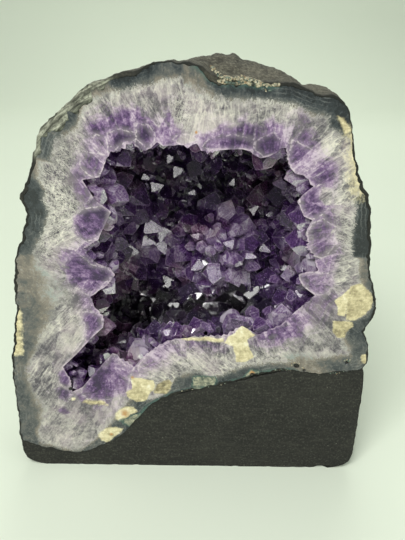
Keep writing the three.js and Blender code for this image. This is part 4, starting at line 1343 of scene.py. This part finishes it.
faceColours = {
    "quartz": ((0.0, 82, 78, 85), (0.22, 118, 113, 117), (0.5, 158, 153, 150), (0.75, 190, 185, 176),
               (1.0, 220, 215, 202)),
    "rose": (176, 158, 170), "lace": (222, 218, 206),
    "violet": ((0.0, 48, 29, 66), (0.25, 78, 52, 97), (0.5, 114, 86, 130), (0.75, 154, 130, 162),
               (1.0, 198, 180, 199)),
    # the last colour on the next line is a painted highlight along the rim
    "outline": (214, 202, 207), "seam": (206, 193, 203), "tip": (208, 191, 204),
    "agate": ((0.0, 30, 35, 39), (0.18, 54, 60, 64), (0.4, 88, 90, 89), (0.6, 112, 107, 99),
              (0.8, 138, 129, 118), (1.0, 150, 156, 152)),
    "band": (160, 164, 162), "milky": (190, 188, 180),
    "calcite": ((0.0, 112, 103, 80), (0.3, 164, 152, 118), (0.6, 206, 194, 154), (0.85, 228, 217, 178),
                (1.0, 238, 231, 206)),
    "filling": ((0.3, 78, 88, 80), (0.5, 136, 138, 120), (0.7, 196, 190, 162)), "teal": (66, 92, 86),
    # the last colour on the next line is painted shade inside the holes
    "amber": (186, 132, 70), "hole": (14, 13, 12),
}


def faceMaterial():
    # The polished cut: quartz lightness and violet as sums of noises and fields, then agate, calcite
    # and the small fillings laid over them where their fields rise above 0.
    material = newMaterial("polishedQuartz")
    place = objectPlace()
    rimDepth, violet, light = field("rimDepth"), field("violet"), field("light")
    agate, agateTone, edge = field("agate"), field("agateTone"), field("edge")
    growth = growthPlace()
    soft = cloudNoise(place, 85, 3, 0.55)
    patch = cloudNoise(warped(place, 170, 0.003), 260, 3, 0.6)
    mottle = cloudNoise(warped(place, 420, 0.0016), 600, 4, 0.66)
    fine = cloudNoise(place, 1500, 3, 0.66)
    streak = cloudNoise(mapped(growth, (0.85, 0.11, 1)), 1.0, 5, 0.7, 0.8)
    # lace: curling threads, some of them drawn out along the growth
    drawn = mapped(growth, (0.5, 0.2, 1))
    lacework = filaments(drawn, 1.0, 0.05, 3, 1.6)
    for scale, wide, detail, distortion, strength in ((330, 0.045, 3, 2.2, 0.9), (620, 0.05, 2, 1.5, 0.7)):
        threads = filaments(place, scale, wide, detail, distortion)
        lacework = calc("MAXIMUM", lacework, times(threads, strength))
    laceHere = summed(0.06, (field("lace"), 0.95), (patch, 1.6, 0.5),
                      (between(rimDepth, 3, 10, 0.5, 0), -1))
    laceShare = times(lacework, times(laceHere, 0.9, clamp=True))
    # flakes: sharp-edged shapes inside the quartz, drawn out along its growth
    flakeAt = warped(mapped(growth, (0.34, 0.13, 1)), 1.3, 0.35, 2)
    flake = firstChannel(cellNoise(flakeAt, 1.0)["Color"])
    flakeEdge = cellNoise(flakeAt, 1.0, feature="DISTANCE_TO_EDGE")["Distance"]
    column = summed(0, (field("tone"), 0.3, 0.5), (field("side"), 0.15, 0.5))
    plain = between(summed(0, (field("lace"), 1.0), (field("streaks"), 0.6)), 0.7, 0.0, 0, -0.55)
    lightness = summed(-0.09, (light, 0.82), (times(plain, calc("SUBTRACT", patch, 0.5)), 1.1),
                       (times(plain, calc("SUBTRACT", mottle, 0.5)), 1.0), (patch, 1.1, 0.5),
                       (mottle, 1.0, 0.5), (fine, 0.55, 0.5), (soft, 0.8, 0.5), (flake, 0.42, 0.5),
                       (times(column, between(rimDepth, 28, 9)), 1.0), (times(field("lace"), -0.12), 1.0),
                       (times(summed(0.35, (field("streaks"), 1.0)), calc("SUBTRACT", streak, 0.5)), 2.1),
                       (times(between(flakeEdge, 0.07, 0.01, 0, 0.34),
                              between(plain, -0.5, -0.1, 0.1, 1)), 1.0))
    quartzColour = colourRamp(lightness, *faceColours["quartz"])
    rose = between(soft, 0.46, 0.66, 0, 0.35)
    quartzColour = coated(quartzColour, faceColours, rose=rose, lace=laceShare)
    # violet behind the crystals' faces, in layers along their growth
    tone, growing = field("tone"), field("growing")
    layerAt = add("ShaderNodeCombineXYZ", {"X": times(growing, 0.75), "Y": times(tone, 57)}).outputs[0]
    layers = cloudNoise(layerAt, 1.0, 3, 0.6)
    share = summed(0.03, (violet, 1.15), (patch, 0.8, 0.5), (mottle, 0.4, 0.5), (streak, 0.6, 0.5),
                   (layers, 0.9, 0.5))
    violetLight = summed(0.69, (violet, -0.52), (patch, 1.4, 0.5), (mottle, 1.1, 0.5), (streak, 1.3, 0.5),
                         (light, 0.3, 0.5), (fine, 0.5, 0.5), (layers, 0.9, 0.5), (tone, 0.5, 0.5),
                         (flake, 0.25, 0.5), (field("side"), 0.38, 0.5),
                         (between(rimDepth, 2.2, 0.4, 0, 0.12), 1.0))
    violetColour = colourRamp(violetLight, *faceColours["violet"])
    colour = blendColour(between(share, 0.05, 0.75), quartzColour, violetColour)
    # pale outlines of the crystals, and a painted highlight along the rim
    broken = between(mottle, 0.4, 0.56, 0.1, 0.9)
    line = times(field("line"), between(rimDepth, 15, 3, 0.3, 1.0))
    lineAway = field("lineAway")
    outline = times(times(line, between(lineAway, 0.5, 0.1)), broken)
    halo = times(line, between(lineAway, 2.4, 0.2, 0, 0.25))
    seamLine = times(between(field("seam"), 0.7, 0.1), between(rimDepth, 14, 1.5, 0, 0.6))
    seamLine = times(seamLine, between(field("covered"), 0.9, 0.4))
    # painted highlight along the rim
    rimHighlight = times(between(rimDepth, 0.9, 0.2), between(patch, 0.42, 0.58, 0.05, 0.5))
    colour = coated(colour, faceColours, outline=calc("MAXIMUM", outline, halo),
                    seam=times(seamLine, broken), tip=rimHighlight)
    # agate at the rock's edge: cloudy, paler inwards, with the block steps of its tone
    agateLight = summed(0, (agateTone, 1.0), (patch, 0.75, 0.5), (mottle, 0.5, 0.5), (soft, 0.35, 0.5),
                        (edge, 0.012, 3), (between(agate, 3.5, -0.5, 0, 0.3), 1.0), (fine, 0.3, 0.5),
                        (streak, 0.6, 0.5))
    agateColour = colourRamp(agateLight, *faceColours["agate"])
    band = calc("SINE", summed(0, (edge, 4.2), (patch, 11.0)))
    bandIn = times(between(band, 0.3, 1.0), between(soft, 0.5, 0.66, 0, 0.22))
    agateColour = blendColour(bandIn, agateColour, faceColours["band"])
    ragged = summed(0.3, (agate, 1.0), (mottle, 4.0, 0.5), (patch, 3.8, 0.5), (streak, 3.6, 0.5),
                    (lacework, -1.1))
    colour = blendColour(between(ragged, -0.6, 0.6), colour, agateColour)
    milky = times(between(ragged, -2.0, -0.6), between(ragged, 0.8, -0.1))
    colour = blendColour(times(milky, 0.3), colour, faceColours["milky"])
    # calcite: cream, with fine lines and darker cracks
    creamTone = field("calciteTone")
    grainLines = cloudNoise(mapped(place, (130, 1, 620), 0.35), 1.0, 3, 0.6)
    creamLight = summed(0.82, (creamTone, -0.62), (mottle, 1.0, 0.5), (patch, 1.1, 0.5),
                        (grainLines, 0.8, 0.5), (fine, 0.3, 0.5))
    cream = colourRamp(creamLight, *faceColours["calcite"])
    inCream = summed(0, (field("calcite"), 1.0), (mottle, 1.1, 0.5), (patch, 0.7, 0.5))
    colour = blendColour(between(inCream, -0.35, 0.4), colour, cream)
    # green-grey fillings with a teal edge, teal along the crusted seam, amber hearts, and painted shade in
    # the holes
    green = summed(0, (field("green"), 1.0), (mottle, 2.2, 0.5))
    filling = colourRamp(summed(0, (mottle, 1.0), (patch, 0.5, 0.5)), *faceColours["filling"])
    colour = blendColour(between(green, -0.1, 0.3), colour, filling)
    tealEdge = times(between(green, -0.7, -0.1), between(green, 0.7, 0.1))
    crust = times(field("crust"), between(patch, 0.35, 0.55, 0.2, 1.0))
    amber = summed(0, (field("amber"), 1.0), (mottle, 1.8, 0.5))
    colour = coated(
        colour, faceColours, teal=calc("MAXIMUM", times(tealEdge, 0.8), crust),
        amber=between(amber, 0.0, 0.8, 0, 0.85), hole=between(field("hole"), -0.15, 0.2),
    )
    roughness = between(mottle, 0.3, 0.75, 0.14, 0.34)
    finishMaterial(colour, roughness, mottle, 0.05, 0.0002, IOR=1.54)
    return material


def makeFace():
    # A thin closed plate: rings at inner + (border - inner) * share for the polished front, two
    # more behind it that close it, and a dent at each hole.
    rings = plate["rings"]
    u = plateSteps()
    n = len(u)
    angle, border = plateReach(u)
    inner = rimReach(angle)
    layers = [polar(angle, inner + (border - inner) * s, faceY) for s in np.linspace(0, 1, rings)]
    layers.append(polar(angle, border - 0.05, faceY + plate["thick"]))
    layers.append(polar(angle, inner + 0.25, faceY + plate["thick"]))
    points = np.concatenate(layers)
    faces = ringFaces(len(layers), n, True)
    growth, fields = faceFields(points, np.tile(u, len(layers)), layers[0][:, ::2])
    front = rings * n
    points[:front, 1] += plate["dent"] * smooth(-0.1, 0.5, fields["hole"][:front])
    piece = makeMesh("sawnFace", points, faces, faceMaterial(), False)
    for name, values in fields.items():
        giveValue(piece, name, values)
    giveUv(piece, growth)
    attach(piece, "root")
    print("sawn face made")


# Crumbs of weathered rock in the crevice at the top, along the lower edge of the cut and round
# its holes: how many, least and largest size in mm, spread, share of teal ones, then the line
# on the cut that they lie along, x, z in turn.
crumbs = {
    "lines": [
        (150, 0.18, 0.5, 0.45, 0.3, 8.2, 180.2, 9.6, 178.4, 12, 176.6, 15, 176.2, 19, 176.6, 23, 175.6,
         26, 174.6, 29, 173.8, 31.5, 174.6),
        (80, 0.2, 0.45, 0.35, 0.8, 10.5, 175.8, 14, 174.8, 19, 175.2, 24, 174, 28, 172.4, 31, 172.8),
        (190, 0.12, 0.4, 0.4, 0.6, -24, 32.4, -20, 36.2, -10, 41.2, 2, 44.3, 13, 46.3, 20, 48.7,
         30, 52.7, 40, 55.1, 50, 54.2, 65, 53.7, 72, 56),
        (46, 0.2, 0.5, 0.45, 0.2, 44.6, 57.4, 46.4, 58.8, 48, 58.4, 48.8, 57, 49.5, 56.2, 52, 55.4),
        (40, 0.2, 0.5, 0.45, 0.3, 66.6, 59.5, 68, 60.6, 69.8, 60.2, 70.4, 58.8, 69.4, 57.4, 67.4, 57.4),
    ],
    "sink": 0.3, "seed": 61,
}


crumbColours = {
    "crumb": ((0.0, 196, 192, 172), (0.22, 176, 166, 140), (0.36, 146, 128, 104), (0.46, 112, 96, 72),
              (0.56, 146, 152, 136), (0.74, 102, 120, 108), (1.0, 50, 64, 60)),
    "dirt": (64, 60, 48),
}


def crumbMaterial():
    # Each crumb's tone picks its colour from one ramp, with dirt over it.
    material = newMaterial("weatheredCrumbs")
    place = objectPlace()
    grain = cloudNoise(place, 1300, 4, 0.65)
    dirt = cloudNoise(place, 480, 3, 0.6)
    mixed = summed(0, (field("tone"), 1.0), (grain, 0.35, 0.5))
    colour = colourRamp(mixed, *crumbColours["crumb"])
    colour = blendColour(between(dirt, 0.52, 0.68, 0, 0.6), colour, crumbColours["dirt"])
    finishMaterial(colour, 0.75, grain, 0.3, 0.0003)
    return material


def makeCrumbs():
    # Each crumb is the overlap of six half-spaces near the axes and four at random.
    random = np.random.RandomState(crumbs["seed"])
    centres, sizes, tones = [], [], []
    for count, small, large, spread, teal, *line in crumbs["lines"]:
        line = np.reshape(line, (-1, 2))
        run = np.append(0, np.cumsum(lengths(np.diff(line, axis=0))))
        clumps = random.rand(max(6, count // 5))  # a few places draw most of the crumbs
        at = run[-1] * (clumps[random.randint(0, len(clumps), count)] + random.normal(0, 0.035, count))
        spot = lineAt(line, run, at)
        spot += spread * random.normal(0, 0.6, spot.shape)
        size = small + (large - small) * random.rand(count) ** 1.6
        deep = faceY + crumbs["sink"] + size * random.uniform(-0.2, 0.6, count)
        centres.append(stacked(spot[:, 0], deep, spot[:, 1]))
        sizes.append(size)
        tones.append(np.where(random.rand(count) < teal, random.uniform(0.62, 1, count),
                              random.uniform(0, 0.55, count)))
    centre, size, tone = (np.concatenate(part) for part in (centres, sizes, tones))
    count = len(size)
    axes = np.concatenate([np.eye(3), -np.eye(3)])
    normals = unit(np.concatenate([axes + random.uniform(-0.25, 0.25, (count, 6, 3)),
                                   random.normal(0, 1, (count, 4, 3))], 1))
    reach = size[:, None] * random.uniform(0.6, 1.0, (count, 10))
    reach += np.einsum("nki,ni->nk", normals, centre)
    points, faces, _, owner = solidsFromPlanes(normals, reach)
    piece = makeMesh("edgeCrumbs", points, faces, crumbMaterial(), False)
    giveValue(piece, "tone", tone[owner])
    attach(piece, "root")
    print("crumbs made:", count)


foot = {
    "halfWidth": 77.3, "back": 84, "squareness": 3.4,
    "levels": np.array([  # height, share of the width
        [0, 0.86], [0.8, 0.91], [2, 0.95], [4, 0.98], [9, 0.997], [18, 1], [44, 1], [54, 0.992], [59, 0.97],
        [62, 0.92],
    ]),
    "leftTop": 0.36, "backRise": 0.12, "lumps": 1.1, "lumpSize": 13,
    "around": 460, "frontColumns": 200, "rings": 96, "behindCut": 0.15,
    "grain": 0.16, "pits": 0.3, "pitSize": 5, "waves": 0.18, "undercut": 0.9,
    "chip": (62.8, 3.3, 1.4, 1.6),  # x, half-width, height, depth
}


cementColours = {
    "paint": ((0.3, 26, 26, 23), (0.5, 32, 32, 28), (0.7, 38, 38, 33)), "grain": (72, 72, 64),
    "darkGrain": (15, 15, 13), "scratch": (64, 64, 56), "darkScratch": (28, 28, 25),
    "speck": (150, 148, 134),
}


def cementMaterial():
    # Dark paint with pale and dark grain, level scratches and a few specks.
    material = newMaterial("paintedCement")
    place = objectPlace()
    cloud = cloudNoise(place, 60, 4, 0.6)
    grain = cloudNoise(place, 1100, 4, 0.7)
    lines = cloudNoise(mapped(place, (0.22, 0.22, 1.6)), 420, 4, 0.65)
    colour = colourRamp(cloud, *cementColours["paint"])
    colour = coated(
        colour, cementColours, grain=between(grain, 0.52, 0.66, 0, 0.8),
        darkGrain=between(grain, 0.46, 0.34, 0, 0.85), scratch=between(lines, 0.52, 0.7, 0, 0.45),
        darkScratch=between(lines, 0.46, 0.3, 0, 0.5),
    )
    # pale specks and short scratches, in some of the cells only
    for scale, stretch, size, chosen, strength in (
        (110.0, (1, 1, 1), 0.05, 0.6, 0.8), (260.0, (1, 1, 1), 0.09, 0.8, 0.4),
        (95.0, (2.2, 1, 0.7), 0.045, 0.7, 0.55),
    ):
        cells = cellNoise(mapped(place, stretch, 0.6), scale)
        pick = firstChannel(cells["Color"])
        speck = times(between(cells["Distance"], size, size * 0.5), calc("GREATER_THAN", pick, chosen))
        colour = blendColour(times(speck, strength), colour, cementColours["speck"])
    bump = calc("ADD", grain, times(lines, 0.8))
    finishMaterial(colour, 0.82, bump, 0.4, 0.0003)
    return material


def makeFoot():
    # A squarish half-round block: superellipse plan, height slanting down to the left, closed
    # by a flat front, underside and top. Each ring runs round the back, then along the front.
    phi = np.linspace(0, np.pi, foot["around"])
    power = 2 / foot["squareness"]
    flat = np.linspace(-1, 1, foot["frontColumns"] + 2)[1:-1]
    c, s = np.append(np.cos(phi), flat * 0), np.append(np.maximum(np.sin(phi), 0), flat * 0)
    across = np.append(np.sign(np.cos(phi)) * np.abs(np.cos(phi)) ** power, flat)
    back = s**power
    facing = np.append(phi * 0, flat * 0 + 1)
    front = faceY + foot["behindCut"]
    n = len(c)
    heights = np.linspace(0, foot["levels"][-1, 0], foot["rings"])
    shares = np.interp(heights, foot["levels"][:, 0], foot["levels"][:, 1])
    top = heights[-1]
    rings = []
    for height, share in zip(heights, shares):
        slant = foot["leftTop"] + (1 - foot["leftTop"]) * (across + 1) / 2 + foot["backRise"] * back
        z = height * (1 + (slant - 1) * height / top)
        x = foot["halfWidth"] * across * share
        y = foot["back"] * back * share
        bump = foot["lumps"] * lumpy(x, y, z, foot["lumpSize"]) * np.minimum(1, y / 12) * (height > 0)
        rings.append(stacked(x + bump * c, front + y + bump * s, z))
    side = np.concatenate(rings)
    k = len(heights)
    rough = layeredNoise(side, 3.2, 4, 88, 0.6) * smooth(0, 1.5, side[:, 2])
    side += (foot["grain"] * rough)[:, None] * np.tile(stacked(c, s, 0), (k, 1))
    # the front: shallow waves and pits, and a chip out of its lower edge
    pits = smooth(0.42, 0.12, pitNoise(side, foot["pitSize"], 31)) * foot["pits"]
    waves = 0.5 + 0.5 * layeredNoise(side, 9, 4, 92)
    chipX, chipWide, chipHigh, chipDeep = foot["chip"]
    chip = smooth(chipWide, chipWide * 0.4, np.abs(side[:, 0] - chipX)) * smooth(chipHigh, 0, side[:, 2])
    side[:, 1] += np.tile(facing, k) * (pits + foot["waves"] * waves + chipDeep * chip)
    side[:, 2] += 0.8 * chipHigh * chip * np.tile((s < 0.02).astype(float), k)
    side[:, 1] = np.maximum(side[:, 1], front)
    middle = np.array([[0, faceY + foot["back"] / 2, 0],
                       [0, faceY + foot["back"] / 2, top * (0.5 + foot["leftTop"] / 2)]])
    # an inset ring keeps the underside flat behind the chip
    inset = middle[0] + (side[:n] - middle[0]) * (foot["undercut"], foot["undercut"], 0)
    points = np.concatenate([inset, side, middle])
    piece = makeMesh("cementFoot", points, closedTube(k + 1, n), cementMaterial())
    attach(piece, "root")
    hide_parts("cement_foot")
    print("foot made")


backdrop = {
    "halfWidth": 2200, "near": -1400, "bendFrom": 900, "bendRadius": 500, "height": 1800,  # mm
    "colours": ((223, 232, 215), (227, 235, 220)),
}


def makeStage():
    # A floor that curves up into a backdrop by a quarter circle: a profile carried along X.
    material = newMaterial("palePaper")
    finishMaterial(blendColour(cloudNoise(objectPlace(), 3, 2), *backdrop["colours"]), 0.85)
    bend = np.linspace(0, np.pi / 2, 16)
    far, r = backdrop["bendFrom"], backdrop["bendRadius"]
    run = np.concatenate([[backdrop["near"]], far + r * np.sin(bend), [far + r]])
    rise = np.concatenate([[0], r - r * np.cos(bend), [backdrop["height"]]])
    side = 0 * run + backdrop["halfWidth"]
    points = np.concatenate([stacked(x, run, rise) for x in (-side, side)])
    k = len(run)
    i = np.arange(k - 1)
    faces = stacked(i, i + k, i + k + 1, i + 1)
    floor = makeMesh("paleFloor", points, faces, material)


def makeLights():
    # A dim room and square lamps: each stands at aim + way * away, faces the aim, and has a power of
    # radiance * pi * size^2.
    scene = bpy.context.scene
    world = bpy.data.worlds.new("room")
    scene.world = world
    world.use_nodes = True
    background = world.node_tree.nodes["Background"]
    background.inputs["Color"].default_value = (*lights["room"], 1)
    background.inputs["Strength"].default_value = lights["roomStrength"]
    aim = np.array(lights["aim"]) * mm
    for name in ("key", "fill", "back", "glint", "far"):
        data = bpy.data.lights.new(name, "AREA")
        size = lights[name + "Size"]
        data.shape = "SQUARE"
        data.size = size
        data.energy = lights[name + "Radiance"] * math.pi * size * size
        data.color = lights["tint"]
        lamp = bpy.data.objects.new(name, data)
        scene.collection.objects.link(lamp)
        if name == "far":  # hangs over the floor and faces straight down, as a new lamp does
            lamp.location = lights["farPlace"]
            continue
        way = unit(np.array(lights[name + "From"]))
        place = aim + way * lights[name + "Away"]
        x = unit(np.cross([0, 0, 1.0], way))
        y = np.cross(way, x)
        rows = stacked(x, y, way, place).tolist()
        lamp.matrix_world = Matrix([*rows, [0, 0, 0, 1]])
    scene.view_settings.view_transform = "Standard"
    scene.view_settings.look = "None"


def makeCamera():
    # Looks down and is turned a little about its own axis.
    data = bpy.data.cameras.new("camera")
    data.lens = view["lens"]
    data.sensor_width = view["sensor"]
    data.clip_start = view["nearest"]
    lens = bpy.data.objects.new("camera", data)
    bpy.context.scene.collection.objects.link(lens)
    tilt = Matrix.Rotation(math.radians(90 - view["lookDown"]), 4, "X")
    roll = Matrix.Rotation(math.radians(view["turn"]), 4, "Z")
    lens.matrix_world = Matrix.Translation([c * mm for c in view["place"]]) @ tilt @ roll
    bpy.context.scene.camera = lens


makeCamera()
makeStage()
makeLights()
print("camera, stage and lights made")
makeRind()
makeDruse()
makeFace()
makeFoot()
makeCrumbs()
